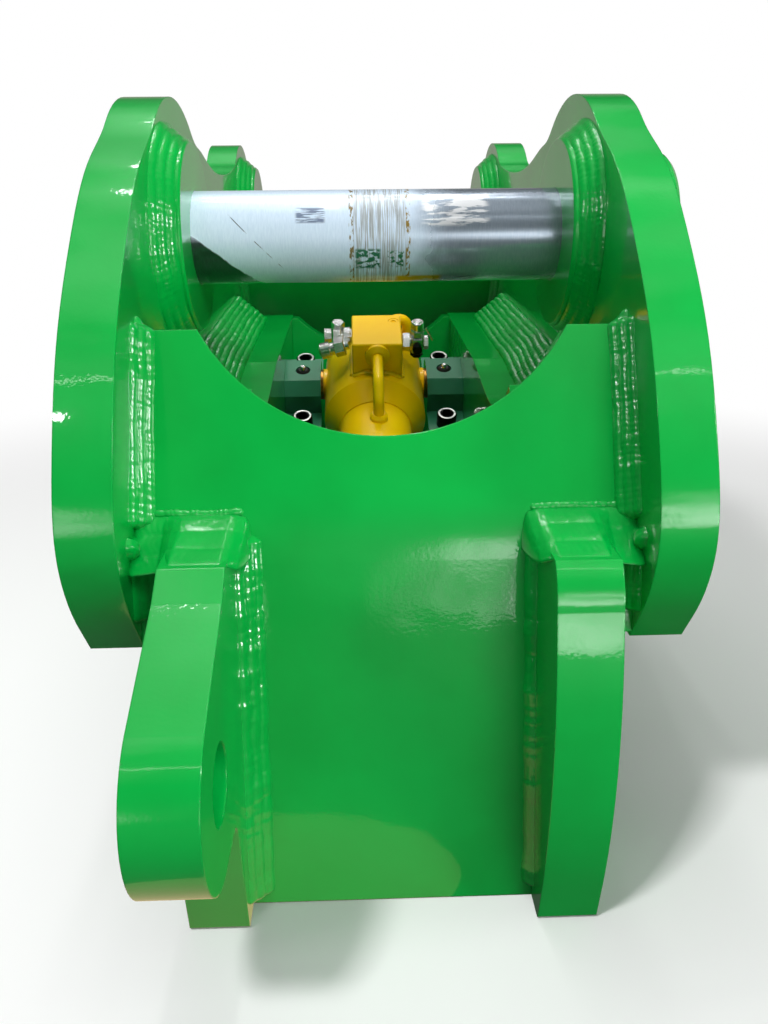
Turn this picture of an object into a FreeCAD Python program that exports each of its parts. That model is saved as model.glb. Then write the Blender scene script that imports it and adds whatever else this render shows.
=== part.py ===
import FreeCAD, Part
import math
import os

# Excavator quick coupler, in millimetres.
# The origin is the centre of the stick pin. +X is to the right, +Y runs from the stick pin
# to the link pin, and +Z is up. The part stands on the flat feet of its inner plates.

V = FreeCAD.Vector

# Pins of the excavator
PIN_R = 40.0
PIN_FIT = 0.08
PIN_CENTRES = 535.0
STICK_WIDTH = 322.0
STICK_SWING_R = 156.0

# Outer side plates, with the curves of their front and top edges as (y, z) points
OUTER_T = 40.0
PLATE_BOTTOM = -282.0
FRONT_CURVE = [(-104.0, 60.0), (-173.0, 4.0), (-228.0, -58.0), (-267.0, -127.0), (-286.0, -195.0),
               (-272.0, -242.0)]
TOP_CURVE = [(432.0, 72.0), (350.0, 63.0), (225.0, 71.0), (172.0, 83.0)]
LOBE_TOP = (55.0, 120.0)
LOBE_FRONT = (-41.0, 93.0)
LOBE_BACK = (128.0, 97.0)
REAR_EAR_R = 108.0
REAR_EAR_ANGLES = (40.0, 128.0)
HEEL_Y = -246.0
OUTER_REAR_Y = 410.0
OUTER_CORNER_R = 55.0

# Boss discs inside the outer plates
FRONT_BOSS_R = 82.0
REAR_BOSS_R = 78.0
BOSS_T = 22.0
BOSS_WELD = 15.0
BOSS_WELD_RUN = 18.0
EDGE_BREAK = 2.0

# Inner plates and what fills the gap to the outer plates
INNER_T = 45.0
INNER_GAP = 218.0
FOOT_Z = -484.0
DECK_Z = -120.0
DECK_KNEE = (130.0, -136.0)
DECK_ARC_END = 279.0
DECK_ARC_START = 216.0
INNER_REAR_Y = 416.0
LEDGE_Z = -195.0
RIB_TOP_Y = -300.0
RIB_BULGE_Y = -333.0
RIB_BULGE_Z = -350.0
RIB_FOOT_Y = -317.0
RIB_SHOULDER = [(-309.0, -207.0), (-315.0, -227.0)]
RIB_LOW = (-321.0, -462.0)
FOOT_BEVEL = 2.0
REAR_BEVEL = 16.0
SPACER_INSET = 6.0
SPACER_REAR = 20.0
SPACER_CUT = 40.0
GROOVE_WELD = 30.0
GROOVE_WELD_LAP = 9.0
GROOVE_WELD_REAR = 30.0

# Lifting eye on the left inner plate
EYE_Y = -378.0
EYE_Z = -306.0
EYE_R = 64.0
EYE_BORE_R = 26.0
EYE_NECK = (-322.0, -210.0)
EYE_ANGLES = (118.0, 190.0, 265.0)
EYE_TOE_R = 16.0

# Front plate
FRONT_T = 22.0
FRONT_TOP = (-172.0, -58.0)
FRONT_KNEE = (-234.0, LEDGE_Z)
FRONT_BEND_R = 220.0
FRONT_BOTTOM = (-292.5, FOOT_Z)
CRESCENT_CHORD = 276.0
CRESCENT_DEPTH = 82.0
LEDGE_LAP = 7.0

# Tool pins: the seat above the wedge and the fixed hook
TOOL_PIN_R = 40.0
TOOL_PIN_FIT = 2.0
SEAT_Y = -150.0
SEAT_HEIGHT = 95.0
SLOT_FLARE = (6.0, 10.0)
HOOK_Y = 310.0
HOOK_LIP_Y = 372.0
HOOK_LIP_R = 22.0
HOOK_LIP_BEVEL = 8.0

# Ram: its frame has its origin on the trunnion axis, with u up its slope and w square to it
TRUNNION_Y = 242.0
TRUNNION_Z = -185.0
BORE_R = 32.5
BARREL_R = 42.5
SLEEVE_R = 60.0
SLEEVE_FRONT = -76.0
SLEEVE_REAR = 34.0
SLEEVE_CONE = 19.0
SLEEVE_CHAMFER = 3.0
SEAT_DEPTH = 6.0
CHEEK_R = 19.0
CHEEK_RISE = 2.1
TRUNNION_END = 8.0
BARREL_FRONT = -156.0
BARREL_REAR = 52.0
CAP_T = 20.0
CAP_END = 12.0
GLAND_T = 34.0
GLAND_FLANGE_R = 46.0
GLAND_FLANGE_T = 12.0
ROD_R = 20.0
ROD_EYE_R = 32.0
ROD_EYE_W = 40.0
ROD_NECK_R = 14.0
ROD_NUT_AF = 36.0
ROD_NUT_H = 14.0
PISTON_T = 30.0
PISTON_GAP = 16.0
SEAL_W = 8.0
SEAL_DEPTH = 5.0
SEAL_GAP = 0.2
PISTON_SEAL_PLACE = 11.0
ROD_SEAL_PLACE = 3.0
TRUNNION_R = 14.0
RUNNING_FIT = 0.06

# Bearing blocks and the rails that they are bolted to
BLOCK_TOP = 22.0
BLOCK_TOP_HALF = 21.5
BLOCK_HALF = 82.0
BLOCK_FLANGE = -17.0
BLOCK_BASE = -44.0
BLOCK_BEVEL = 14.0
NIPPLE_R = 3.9
NIPPLE_SINK = 3.0
NIPPLE_SINK_R = 9.0
BOLT_U = 61.5
BOLT_R = 8.0
BOLT_HEAD_R = 12.0
BOLT_HEAD_H = 16.0
BOLT_HEX = 14.0
RAIL_T = 28.0
RAIL_OVERHANG = 8.0
BUSH_T = 3.0
BUSH_END = 6.0
WASHER_T = 2.5
WASHER_R = 18.5
WASHER_GAP = 0.4

# Valve block, tubes and fittings
VALVE_W = 57.0
VALVE_FRONT = -61.0
VALVE_REAR = 2.0
VALVE_TOP = 97.0
VALVE_X = 3.0
VALVE_CHAMFER = 1.2
PLUG_X = 20.0
PLUG_U = 14.0
PLUG_R = 6.0
TUBE_R = 6.0
TUBE_BEND = 14.0
REAR_TUBE_R = 6.5
REAR_TUBE_BEND = 9.5
PORT_R = 14.0
PORT_T = 7.0
SMALL_PORT_R = 10.0
PORT_W = 83.0
TUBE_REACH = 63.0
REAR_PORT_X = 18.0
REAR_PORT_W = 80.0
REAR_TUBE_X = 38.0
REAR_TUBE_BACK = 17.0
SLEEVE_PORT_H = 14.0

# Lock wedge and its guides
WEDGE_SLOPE = 15.0
WEDGE_ANGLE = 8.0
WEDGE_TIP_Y = -187.0
WEDGE_TIP_RISE = 5.0
WEDGE_REAR_Y = 62.0
WEDGE_SIDE = 3.5
SHOULDER_H = 44.0
SHOULDER_W = 32.0
WEDGE_TRAVEL = 90.0
ROD_EYE_ALONG = 192.2
ROD_EYE_HEIGHT = 125.7
ROD_PIN_R = 17.0
ROD_PIN_PLAY = 1.8
LUG_T = 22.0
LUG_GAP = 2.0
LUG_R = 34.0
LUG_SPREAD = 62.0
PIN_PAST_LUG = 8.0
CLIP_GROOVE = 2.5
CLIP_DEPTH = 2.0
CLIP_T = 2.1
GUIDE_W = 28.0
GUIDE_T = 20.0
STRIP_T = 5.0
SLIDE_GAP = 0.4

# Cross members
BELLY_T = 20.0
BELLY_FRONT = 30.0
BELLY_REAR = 250.0
WEB_T = 22.0
WEB_TOP = -300.0
REAR_PLATE_T = 25.0
REAR_PLATE_Y = 378.0
REAR_PLATE_BOTTOM = -330.0
REAR_HOLLOW_CHORD = 200.0
REAR_HOLLOW_DEPTH = 42.0

# Bent plate that ties the rear ears below the link
TIE_T = 20.0
TIE_CLEAR_R = 106.0
TIE_TOP_Z = -48.0
TIE_BEND_ANGLE = 215.0
TIE_STRAIGHT = 120.0

# Pin retention on the right outer face
COLLAR_R = 68.0
COLLAR_T = 33.0
COLLAR_CHAMFER = 4.0
COLLAR_SPOT = 5.0
COLLAR_SPOT_R = 15.5
LOCK_BOLT_R = 8.0
LOCK_HEAD_H = 10.0
LOCK_BOLT_FIT = 0.5
LOCK_BOLT_TILT = 60.0
NUT_AF = 24.0
NUT_H = 13.0
NUT_GAP = 0.4
PIN_END = 2.0
PIN_CHAMFER = 3.0

# Values that follow from the sizes above
OUTER_IN = STICK_WIDTH / 2 + BOSS_T
OUTER_OUT = OUTER_IN + OUTER_T
BOSS_FACE = STICK_WIDTH / 2
INNER_IN = INNER_GAP / 2
INNER_OUT = INNER_IN + INNER_T
PIN_BORE_R = PIN_R + PIN_FIT
SEAT_R = TOOL_PIN_R + TOOL_PIN_FIT
SEAT_Z = FOOT_Z + SEAT_HEIGHT
HOOK_Z = SEAT_Z
WEDGE_TIP_Z = FOOT_Z + WEDGE_TIP_RISE
SLEEVE_FACE = SLEEVE_R + CHEEK_RISE
BLOCK_IN = SLEEVE_FACE + WASHER_GAP + WASHER_T
WEDGE_HALF = INNER_IN - WEDGE_SIDE

# The rod's eye stands over the wedge's sole, and the ram points from the trunnions to it
SLIDE_COS = math.cos(math.radians(WEDGE_SLOPE))
SLIDE_SIN = math.sin(math.radians(WEDGE_SLOPE))
ROD_EYE_Y = WEDGE_TIP_Y + ROD_EYE_ALONG * SLIDE_COS - ROD_EYE_HEIGHT * SLIDE_SIN
ROD_EYE_Z = WEDGE_TIP_Z + ROD_EYE_ALONG * SLIDE_SIN + ROD_EYE_HEIGHT * SLIDE_COS
ROD_EYE_U = -math.hypot(TRUNNION_Y - ROD_EYE_Y, TRUNNION_Z - ROD_EYE_Z)
RAM_SLOPE = math.degrees(math.atan2(TRUNNION_Z - ROD_EYE_Z, TRUNNION_Y - ROD_EYE_Y))


def rad(degrees):
    return math.radians(degrees)


def polar(y, z, radius, degrees):
    """The point (y, z) at an angle on a circle in the side view, from +Y towards +Z."""
    return (y + radius * math.cos(rad(degrees)), z + radius * math.sin(rad(degrees)))


class Outline:
    """A closed side profile in the YZ plane, drawn edge by edge."""

    def __init__(self, start):
        self.points = [start]
        self.edges = []

    def at(self, point):
        return V(0, point[0], point[1])

    def add(self, curve, end):
        edge = curve.toShape()
        self.edges.append(edge)
        self.points.append(end)
        self.heading = edge.tangentAt(edge.LastParameter)
        return self

    def line(self, end):
        return self.add(Part.LineSegment(self.at(self.points[-1]), self.at(end)), end)

    def arc(self, middle, end):
        return self.add(Part.Arc(self.at(self.points[-1]), self.at(middle), self.at(end)), end)

    def round(self, corner, after, radius):
        """A line towards a corner and an arc round it, which leaves in the direction of the next point."""
        here, turn, beyond = self.at(self.points[-1]), self.at(corner), self.at(after)
        into, out = turn.sub(here).normalize(), beyond.sub(turn).normalize()
        half_turn = into.getAngle(out) / 2
        cut_back = radius * math.tan(half_turn)
        start, end = turn.sub(into * cut_back), turn.add(out * cut_back)
        middle = turn.add(out.sub(into).normalize() * (radius / math.cos(half_turn) - radius))
        self.line((start.y, start.z))
        return self.arc((middle.y, middle.z), (end.y, end.z))

    def spline(self, through, end_heading=None):
        """A smooth curve that carries on from the last edge, through the points."""
        curve = Part.BSplineCurve()
        points = [self.at(p) for p in [self.points[-1]] + through]
        heading = {"InitialTangent": self.heading}
        heading["FinalTangent"] = end_heading or points[-1].sub(points[-2]).normalize()
        curve.interpolate(Points=points, **heading)
        return self.add(curve, through[-1])

    def extrude(self, x_low, x_high):
        if self.points[-1] != self.points[0]:
            self.line(self.points[0])
        face = Part.Face(Part.Wire(self.edges))
        face.translate(V(x_low, 0, 0))
        return face.extrude(V(x_high - x_low, 0, 0))


def rod_x(radius, x_low, x_high, y=0.0, z=0.0):
    return Part.makeCylinder(radius, x_high - x_low, V(x_low, y, z), V(1, 0, 0))


def box(x_low, x_high, y_low, y_high, z_low, z_high):
    return Part.makeBox(x_high - x_low, y_high - y_low, z_high - z_low, V(x_low, y_low, z_low))


def turned(profile, base, axis):
    """A turned piece: profile is (distance along the axis, radius) pairs from one end to the other."""
    pairs = [(profile[0][0], 0.0)] + list(profile) + [(profile[-1][0], 0.0)]
    points = [V(radius, 0, along) for along, radius in pairs]
    face = Part.Face(Part.makePolygon(points + [points[0]]))
    solid = face.revolve(V(0, 0, 0), V(0, 0, 1), 360)
    solid.Placement = FreeCAD.Placement(base, FreeCAD.Rotation(V(0, 0, 1), axis))
    return solid


def hexagon(across_flats, height, base, axis):
    """A hexagonal prism, as on a nut or a fitting."""
    radius = across_flats / math.sqrt(3)
    points = [V(radius * math.cos(rad(60 * i)), radius * math.sin(rad(60 * i)), 0) for i in range(7)]
    prism = Part.Face(Part.makePolygon(points)).extrude(V(0, 0, height))
    prism.Placement = FreeCAD.Placement(base, FreeCAD.Rotation(V(0, 0, 1), axis))
    return prism


def both_sides(shape):
    """The shape and its mirror image across the symmetry plane."""
    return [shape, shape.mirror(V(0, 0, 0), V(1, 0, 0))]


def ram_point(u, w):
    """The point (y, z) in the coupler of a point of the ram's frame."""
    c, s = math.cos(rad(RAM_SLOPE)), math.sin(rad(RAM_SLOPE))
    return (TRUNNION_Y + u * c - w * s, TRUNNION_Z + u * s + w * c)


def on_ram(shape):
    """Moves a shape drawn with X, u and w along X, Y and Z to its place in the coupler."""
    placed = shape.copy()
    placed.rotate(V(0, 0, 0), V(1, 0, 0), RAM_SLOPE)
    placed.translate(V(0, TRUNNION_Y, TRUNNION_Z))
    return placed


def on_slide(shape):
    """Moves a shape drawn with X, slide and height along X, Y and Z to the wedge's tip and slope."""
    placed = shape.copy()
    placed.rotate(V(0, 0, 0), V(1, 0, 0), WEDGE_SLOPE)
    placed.translate(V(0, WEDGE_TIP_Y, WEDGE_TIP_Z))
    return placed


def save(name, shapes):
    """Writes one sub-part: a single solid, or a group of separate solids."""
    if not isinstance(shapes, (list, tuple)):
        shapes = [shapes]
    solids = [solid for shape in shapes for solid in shape.Solids]
    shape = solids[0] if len(solids) == 1 else Part.makeCompound(solids)
    for solid in solids:
        if not solid.isValid() or solid.Volume <= 0:
            print("check", name, solid.Volume)
    shape.exportStep(os.path.join("parts", name + ".step"))


# Outer side plates

def tangent_angle(point, centre, radius):
    """The angle on a circle, below its centre, where a line from the point touches it."""
    dy, dz = point[0] - centre[0], point[1] - centre[1]
    return math.degrees(math.atan2(dz, dy) + math.acos(radius / math.hypot(dy, dz)))


def outer_plate_outline():
    corner = (OUTER_REAR_Y, PLATE_BOTTOM)
    ear_low = polar(PIN_CENTRES, 0, REAR_EAR_R, tangent_angle(corner, (PIN_CENTRES, 0), REAR_EAR_R))
    outline = Outline(LOBE_BACK)
    outline.arc(LOBE_TOP, LOBE_FRONT)
    outline.spline(FRONT_CURVE + [(HEEL_Y, PLATE_BOTTOM)])
    outline.round(corner, ear_low, OUTER_CORNER_R)
    outline.line(ear_low)
    outline.arc(*[polar(PIN_CENTRES, 0, REAR_EAR_R, angle) for angle in REAR_EAR_ANGLES])
    lobe = Part.Arc(V(0, *LOBE_BACK), V(0, *LOBE_TOP), V(0, *LOBE_FRONT)).toShape()
    outline.spline(TOP_CURVE + [LOBE_BACK], lobe.tangentAt(lobe.FirstParameter))
    return outline


def outer_plate(x_low, x_high):
    plate = outer_plate_outline().extrude(x_low, x_high)
    plate = plate.cut(rod_x(PIN_BORE_R, x_low - 1, x_high + 1))
    return plate.cut(rod_x(PIN_BORE_R, x_low - 1, x_high + 1, PIN_CENTRES))


def boss(radius, y):
    """A disc on the inside of the right outer plate with the slope of its ring of weld."""
    face, seat = BOSS_FACE, OUTER_IN
    ring = turned([(face, radius - EDGE_BREAK), (face + EDGE_BREAK, radius), (seat - BOSS_WELD_RUN, radius),
                   (seat, radius + BOSS_WELD)], V(0, y, 0), V(1, 0, 0))
    return ring.cut(rod_x(PIN_BORE_R, face - 1, seat + 1, y))


# Inner plates

def front_line(z, inset=0.0):
    """The y of the front plate's front surface at a height, or of a surface at a depth behind it."""
    low, high = (FRONT_KNEE, FRONT_TOP) if z >= FRONT_KNEE[1] else (FRONT_BOTTOM, FRONT_KNEE)
    share = (z - low[1]) / (high[1] - low[1])
    run, rise = high[0] - low[0], high[1] - low[1]
    return low[0] + share * run + inset * math.hypot(run, rise) / rise


def front_lean():
    """The direction up the front plate's upper part, as an angle from +Y towards +Z."""
    return math.atan2(FRONT_TOP[1] - FRONT_KNEE[1], FRONT_TOP[0] - FRONT_KNEE[0])


def front_back_top():
    """The top corner at the back of the front plate."""
    lean = front_lean()
    return (FRONT_TOP[0] + FRONT_T * math.sin(lean), FRONT_TOP[1] - FRONT_T * math.cos(lean))


def deck(outline):
    """The edge that inner plate and spacer share: deck, arc under the stick, front plate's back."""
    start_angle = 180.0 - math.degrees(math.asin(front_back_top()[1] / STICK_SWING_R))
    outline.line(DECK_KNEE)
    outline.line(polar(0, 0, STICK_SWING_R, DECK_ARC_END))
    outline.arc(polar(0, 0, STICK_SWING_R, (start_angle + DECK_ARC_END) / 2),
                polar(0, 0, STICK_SWING_R, start_angle))
    outline.line(front_back_top())
    outline.line((front_line(LEDGE_Z, FRONT_T), LEDGE_Z))
    return outline


def inner_plate_outline(with_eye):
    outline = deck(Outline((INNER_REAR_Y, DECK_Z)))
    outline.line((RIB_TOP_Y, LEDGE_Z))
    if with_eye:
        neck, middle, low = [polar(EYE_Y, EYE_Z, EYE_R, angle) for angle in EYE_ANGLES]
        outline.line(EYE_NECK)
        outline.line(neck)
        outline.arc(middle, low)
        toe = (RIB_BULGE_Y, EYE_Z - EYE_R)
        outline.round(toe, (RIB_FOOT_Y, FOOT_Z + FOOT_BEVEL), EYE_TOE_R)
    else:
        outline.arc(*RIB_SHOULDER)
        outline.arc((RIB_BULGE_Y, RIB_BULGE_Z), RIB_LOW)
    outline.line((RIB_FOOT_Y, FOOT_Z + FOOT_BEVEL))
    outline.line((RIB_FOOT_Y + FOOT_BEVEL, FOOT_Z))
    flare, flare_height = SLOT_FLARE
    outline.line((SEAT_Y - SEAT_R - flare, FOOT_Z))
    outline.line((SEAT_Y - SEAT_R, FOOT_Z + flare_height))
    outline.line((SEAT_Y - SEAT_R, SEAT_Z))
    outline.arc((SEAT_Y, SEAT_Z + SEAT_R), (SEAT_Y + SEAT_R, SEAT_Z))
    outline.line((SEAT_Y + SEAT_R, FOOT_Z + flare_height))
    outline.line((SEAT_Y + SEAT_R + flare, FOOT_Z))
    outline.line((HOOK_LIP_Y - 2 * HOOK_LIP_R, FOOT_Z))
    lip_low = (HOOK_LIP_Y, HOOK_Z - SEAT_R - HOOK_LIP_BEVEL)
    outline.arc((HOOK_LIP_Y - 0.45 * HOOK_LIP_R, FOOT_Z + 0.5 * HOOK_LIP_R), lip_low)
    outline.line((HOOK_LIP_Y - HOOK_LIP_BEVEL, HOOK_Z - SEAT_R))
    outline.line((HOOK_Y, HOOK_Z - SEAT_R))
    outline.arc((HOOK_Y - SEAT_R, HOOK_Z), (HOOK_Y, HOOK_Z + SEAT_R))
    outline.line((INNER_REAR_Y - REAR_BEVEL, HOOK_Z + SEAT_R))
    outline.line((INNER_REAR_Y, HOOK_Z + SEAT_R + REAR_BEVEL))
    return outline


def crescent_cutter(behind):
    """The round of the crescent, square to the front plate and to a depth behind its front."""
    half, lean = CRESCENT_CHORD / 2, front_lean()
    radius = (half * half + CRESCENT_DEPTH ** 2) / (2 * CRESCENT_DEPTH)
    rise = radius - CRESCENT_DEPTH
    centre = V(0, FRONT_TOP[0] + rise * math.cos(lean), FRONT_TOP[1] + rise * math.sin(lean))
    normal = V(0, math.sin(lean), -math.cos(lean))
    return Part.makeCylinder(radius, FRONT_T + behind, centre.sub(normal * FRONT_T), normal)


def inner_plate(x_low, x_high, with_eye):
    """An inner plate; its front top corner is cut away with the crescent."""
    plate = inner_plate_outline(with_eye).extrude(x_low, x_high).cut(crescent_cutter(4 * FRONT_T))
    if with_eye:
        plate = plate.cut(rod_x(EYE_BORE_R, x_low - 1, x_high + 1, EYE_Y, EYE_Z))
    return plate


def deck_height(y):
    """The height of the straight deck behind its knee."""
    return DECK_Z + (INNER_REAR_Y - y) / (INNER_REAR_Y - DECK_KNEE[0]) * (DECK_KNEE[1] - DECK_Z)


def spacer_outline():
    """The filler between an inner and an outer plate, down to the outer plate's lower edge."""
    rear, bottom = INNER_REAR_Y - SPACER_REAR, PLATE_BOTTOM + SPACER_INSET
    outline = deck(Outline((rear, deck_height(rear))))
    outline.line(FRONT_KNEE)
    outline.line((front_line(bottom), bottom))
    outline.line((OUTER_REAR_Y - SPACER_CUT, bottom))
    outline.line((OUTER_REAR_Y, bottom + SPACER_CUT))
    return outline


def weld_run(section, start, end):
    """A straight run of weld in the side view between two points of the deck."""
    along = V(0, end[0] - start[0], end[1] - start[1])
    face = Part.Face(Part.makePolygon(section))
    face.rotate(V(0, 0, 0), V(1, 0, 0), math.degrees(math.atan2(along.z, along.y)))
    face.translate(V(0, *start))
    return face.extrude(along)


def groove_weld():
    """The sloped run of weld over the right spacer, from the inner plate up to the outer plate."""
    low, high = INNER_OUT - GROOVE_WELD_LAP, OUTER_IN
    section = [V(low, 0, 0), V(high, 0, 0), V(high, 0, GROOVE_WELD), V(low, 0, 0)]
    rear_y = INNER_REAR_Y - GROOVE_WELD_REAR
    arc_end = polar(0, 0, STICK_SWING_R, DECK_ARC_END)
    rear = weld_run(section, DECK_KNEE, (rear_y, deck_height(rear_y)))
    middle = weld_run(section, arc_end, DECK_KNEE)
    hanging = Part.Face(Part.makePolygon([V(p.x, STICK_SWING_R - p.z, 0) for p in section]))
    hanging.rotate(V(0, 0, 0), V(1, 0, 0), DECK_ARC_END)
    curved = hanging.revolve(V(0, 0, 0), V(1, 0, 0), DECK_ARC_START - DECK_ARC_END)
    return rear.fuse([middle, curved]).removeSplitter()


# Front plate with the crescent that clears the stick

def bend_relief():
    """What the press brake's round bend takes off the sharp knee at the front of the plate."""
    knee, top, low = [V(0, *point) for point in (FRONT_KNEE, FRONT_TOP, FRONT_BOTTOM)]
    up, down = top.sub(knee).normalize(), low.sub(knee).normalize()
    half_turn = (math.pi - up.getAngle(down)) / 2
    cut_back = FRONT_BEND_R * math.tan(half_turn)
    depth = FRONT_BEND_R / math.cos(half_turn) - FRONT_BEND_R
    middle = knee.add(up.add(down).normalize() * depth)
    upper, lower = knee.add(up * cut_back), knee.add(down * cut_back)
    relief = Outline((upper.y, upper.z))
    relief.line(FRONT_KNEE)
    relief.line((lower.y, lower.z))
    relief.arc((middle.y, middle.z), (upper.y, upper.z))
    return relief.extrude(-OUTER_IN, OUTER_IN)


def front_plate():
    """The bent plate: wide between the outer plates, narrow between the inner plates below the ledge."""
    back_top = front_back_top()
    back_ledge = (front_line(LEDGE_Z, FRONT_T), LEDGE_Z)
    wide = Outline(FRONT_TOP)
    wide.line(FRONT_KNEE)
    wide.line(back_ledge)
    wide.line(back_top)
    plate = wide.extrude(-OUTER_IN, OUTER_IN)
    below = LEDGE_Z - LEDGE_LAP
    narrow = Outline(FRONT_KNEE)
    narrow.line(FRONT_BOTTOM)
    narrow.line((FRONT_BOTTOM[0] + FRONT_T, FRONT_BOTTOM[1]))
    narrow.line((front_line(below, FRONT_T), below))
    narrow.line(back_ledge)
    plate = plate.fuse(narrow.extrude(-INNER_IN, INNER_IN)).removeSplitter()
    plate = plate.cut(bend_relief())
    return plate.cut(crescent_cutter(2 * FRONT_T))


# Stick pin and what holds it

def lock_direction():
    return V(0, math.cos(rad(LOCK_BOLT_TILT)), math.sin(rad(LOCK_BOLT_TILT)))


def lock_hole(length):
    axis = lock_direction()
    base = V(OUTER_OUT + COLLAR_T / 2, 0, 0).sub(axis * (length / 2))
    return Part.makeCylinder(LOCK_BOLT_R + LOCK_BOLT_FIT, length, base, axis)


def stick_pin():
    left, right = -OUTER_OUT + PIN_END, OUTER_OUT + COLLAR_T - PIN_END
    length, end_r = right - left, PIN_R - PIN_CHAMFER
    pin = turned([(0, end_r), (PIN_CHAMFER, PIN_R), (length - PIN_CHAMFER, PIN_R), (length, end_r)],
                 V(left, 0, 0), V(1, 0, 0))
    return pin.cut(lock_hole(4 * PIN_R))


def pin_collar():
    chamfer = COLLAR_CHAMFER
    ring = turned([(0, COLLAR_R), (COLLAR_T - chamfer, COLLAR_R), (COLLAR_T, COLLAR_R - chamfer)],
                  V(OUTER_OUT, 0, 0), V(1, 0, 0))
    ring = ring.cut(rod_x(PIN_BORE_R, OUTER_OUT - 1, OUTER_OUT + COLLAR_T + 1))
    axis = lock_direction()
    middle = V(OUTER_OUT + COLLAR_T / 2, 0, 0)
    for sign in (1, -1):
        face = middle.add(axis * (sign * (COLLAR_R - COLLAR_SPOT)))
        spot = Part.makeCylinder(COLLAR_SPOT_R, COLLAR_R, face, axis * sign)
        ring = ring.cut(spot)
    return ring.cut(lock_hole(4 * COLLAR_R))


def lock_bolt():
    axis = lock_direction()
    seat = COLLAR_R - COLLAR_SPOT
    top = V(OUTER_OUT + COLLAR_T / 2, 0, 0).add(axis * seat)
    shank = Part.makeCylinder(LOCK_BOLT_R, 2 * seat + 2.5 * NUT_H, top, axis * -1)
    return shank.fuse(hexagon(NUT_AF, LOCK_HEAD_H, top, axis))


def lock_nuts():
    axis = lock_direction()
    nuts = []
    for i in range(2):
        along = COLLAR_R - COLLAR_SPOT + i * (NUT_H + NUT_GAP)
        base = V(OUTER_OUT + COLLAR_T / 2, 0, 0).sub(axis * along)
        nut = hexagon(NUT_AF, NUT_H, base, axis * -1)
        hole = Part.makeCylinder(LOCK_BOLT_R + 0.05, NUT_H + 2, base.add(axis), axis * -1)
        nuts.append(nut.cut(hole))
    return nuts


# Bearing blocks, in the ram's frame

def bearing_block():
    """The right pillow block: a flange with two counterbores and a bevelled hump over the trunnion."""
    top, flange, base = BLOCK_TOP, BLOCK_FLANGE, BLOCK_BASE
    half, bevel = BLOCK_TOP_HALF, BLOCK_BEVEL
    outline = Outline((-BLOCK_HALF, base))
    outline.line((BLOCK_HALF, base))
    outline.line((BLOCK_HALF, flange))
    outline.line((half + bevel, flange))
    outline.line((half + bevel, top - bevel))
    outline.line((half, top))
    outline.line((-half, top))
    outline.line((-half - bevel, top - bevel))
    outline.line((-half - bevel, flange))
    outline.line((-BLOCK_HALF, flange))
    block = outline.extrude(BLOCK_IN, INNER_IN)
    block = block.cut(rod_x(TRUNNION_R + BUSH_T, BLOCK_IN - 1, INNER_IN - BUSH_END))
    middle = (BLOCK_IN + INNER_IN) / 2
    for sign in (1, -1):
        hole = Part.makeCylinder(BOLT_R + 0.3, top - base + 2, V(middle, sign * BOLT_U, base - 1))
        block = block.cut(hole)
    drill = Part.makeCylinder(NIPPLE_R + 0.1, top - TRUNNION_R, V(middle, 0, TRUNNION_R), V(0, 0, 1))
    sink = Part.makeCylinder(NIPPLE_SINK_R, NIPPLE_SINK, V(middle, 0, top - NIPPLE_SINK))
    return on_ram(block.cut(drill).cut(sink))


def bearing_bush():
    ring = rod_x(TRUNNION_R + BUSH_T, BLOCK_IN, INNER_IN - BUSH_END)
    return on_ram(ring.cut(rod_x(TRUNNION_R + RUNNING_FIT, BLOCK_IN - 1, INNER_IN)))


def thrust_washer():
    ring = rod_x(WASHER_R, BLOCK_IN - WASHER_T, BLOCK_IN)
    return on_ram(ring.cut(rod_x(TRUNNION_R + 0.5, BLOCK_IN - WASHER_T - 1, BLOCK_IN + 1)))


def block_bolt(u):
    """A socket head bolt through the block's flange into the rail."""
    x = (BLOCK_IN + INNER_IN) / 2
    depth = BLOCK_FLANGE - BLOCK_BASE + 0.8 * RAIL_T
    shank = Part.makeCylinder(BOLT_R, depth, V(x, u, BLOCK_FLANGE - depth))
    head = turned([(0, BOLT_HEAD_R), (BOLT_HEAD_H - 1.2, BOLT_HEAD_R), (BOLT_HEAD_H, BOLT_HEAD_R - 1.2)],
                  V(x, u, BLOCK_FLANGE), V(0, 0, 1))
    socket = hexagon(BOLT_HEX, 9.0, V(x, u, BLOCK_FLANGE + BOLT_HEAD_H - 8.0), V(0, 0, 1))
    return on_ram(shank.fuse(head).cut(socket))


def grease_nipple():
    x = (BLOCK_IN + INNER_IN) / 2
    seat = BLOCK_TOP - NIPPLE_SINK
    stem = seat - TRUNNION_R - BUSH_T - 0.2
    body = turned([(-stem, NIPPLE_R), (0, NIPPLE_R), (0, 5.5), (3.0, 5.5), (3.5, 3.0), (6.0, 2.2), (7.5, 3.2),
                   (9.0, 2.4)], V(x, 0, seat), V(0, 0, 1))
    return on_ram(body)


def bearer_rail():
    """The right ledge that carries the block, welded along the inner plate."""
    half, low = BLOCK_HALF + RAIL_OVERHANG, BLOCK_BASE - RAIL_T
    rail = box(BLOCK_IN + 1, INNER_IN, -half, half, low, BLOCK_BASE)
    middle = (BLOCK_IN + INNER_IN) / 2
    for sign in (1, -1):
        rail = rail.cut(Part.makeCylinder(BOLT_R + 0.05, RAIL_T + 2, V(middle, sign * BOLT_U, low - 1)))
    return on_ram(rail)


# Ram

def barrel():
    tube = turned([(BARREL_FRONT, BARREL_R), (BARREL_REAR, BARREL_R)], V(0, 0, 0), V(0, 1, 0))
    bore = Part.makeCylinder(BORE_R, BARREL_REAR - BARREL_FRONT + 2, V(0, BARREL_FRONT - 1, 0), V(0, 1, 0))
    return on_ram(tube.cut(bore))


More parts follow.
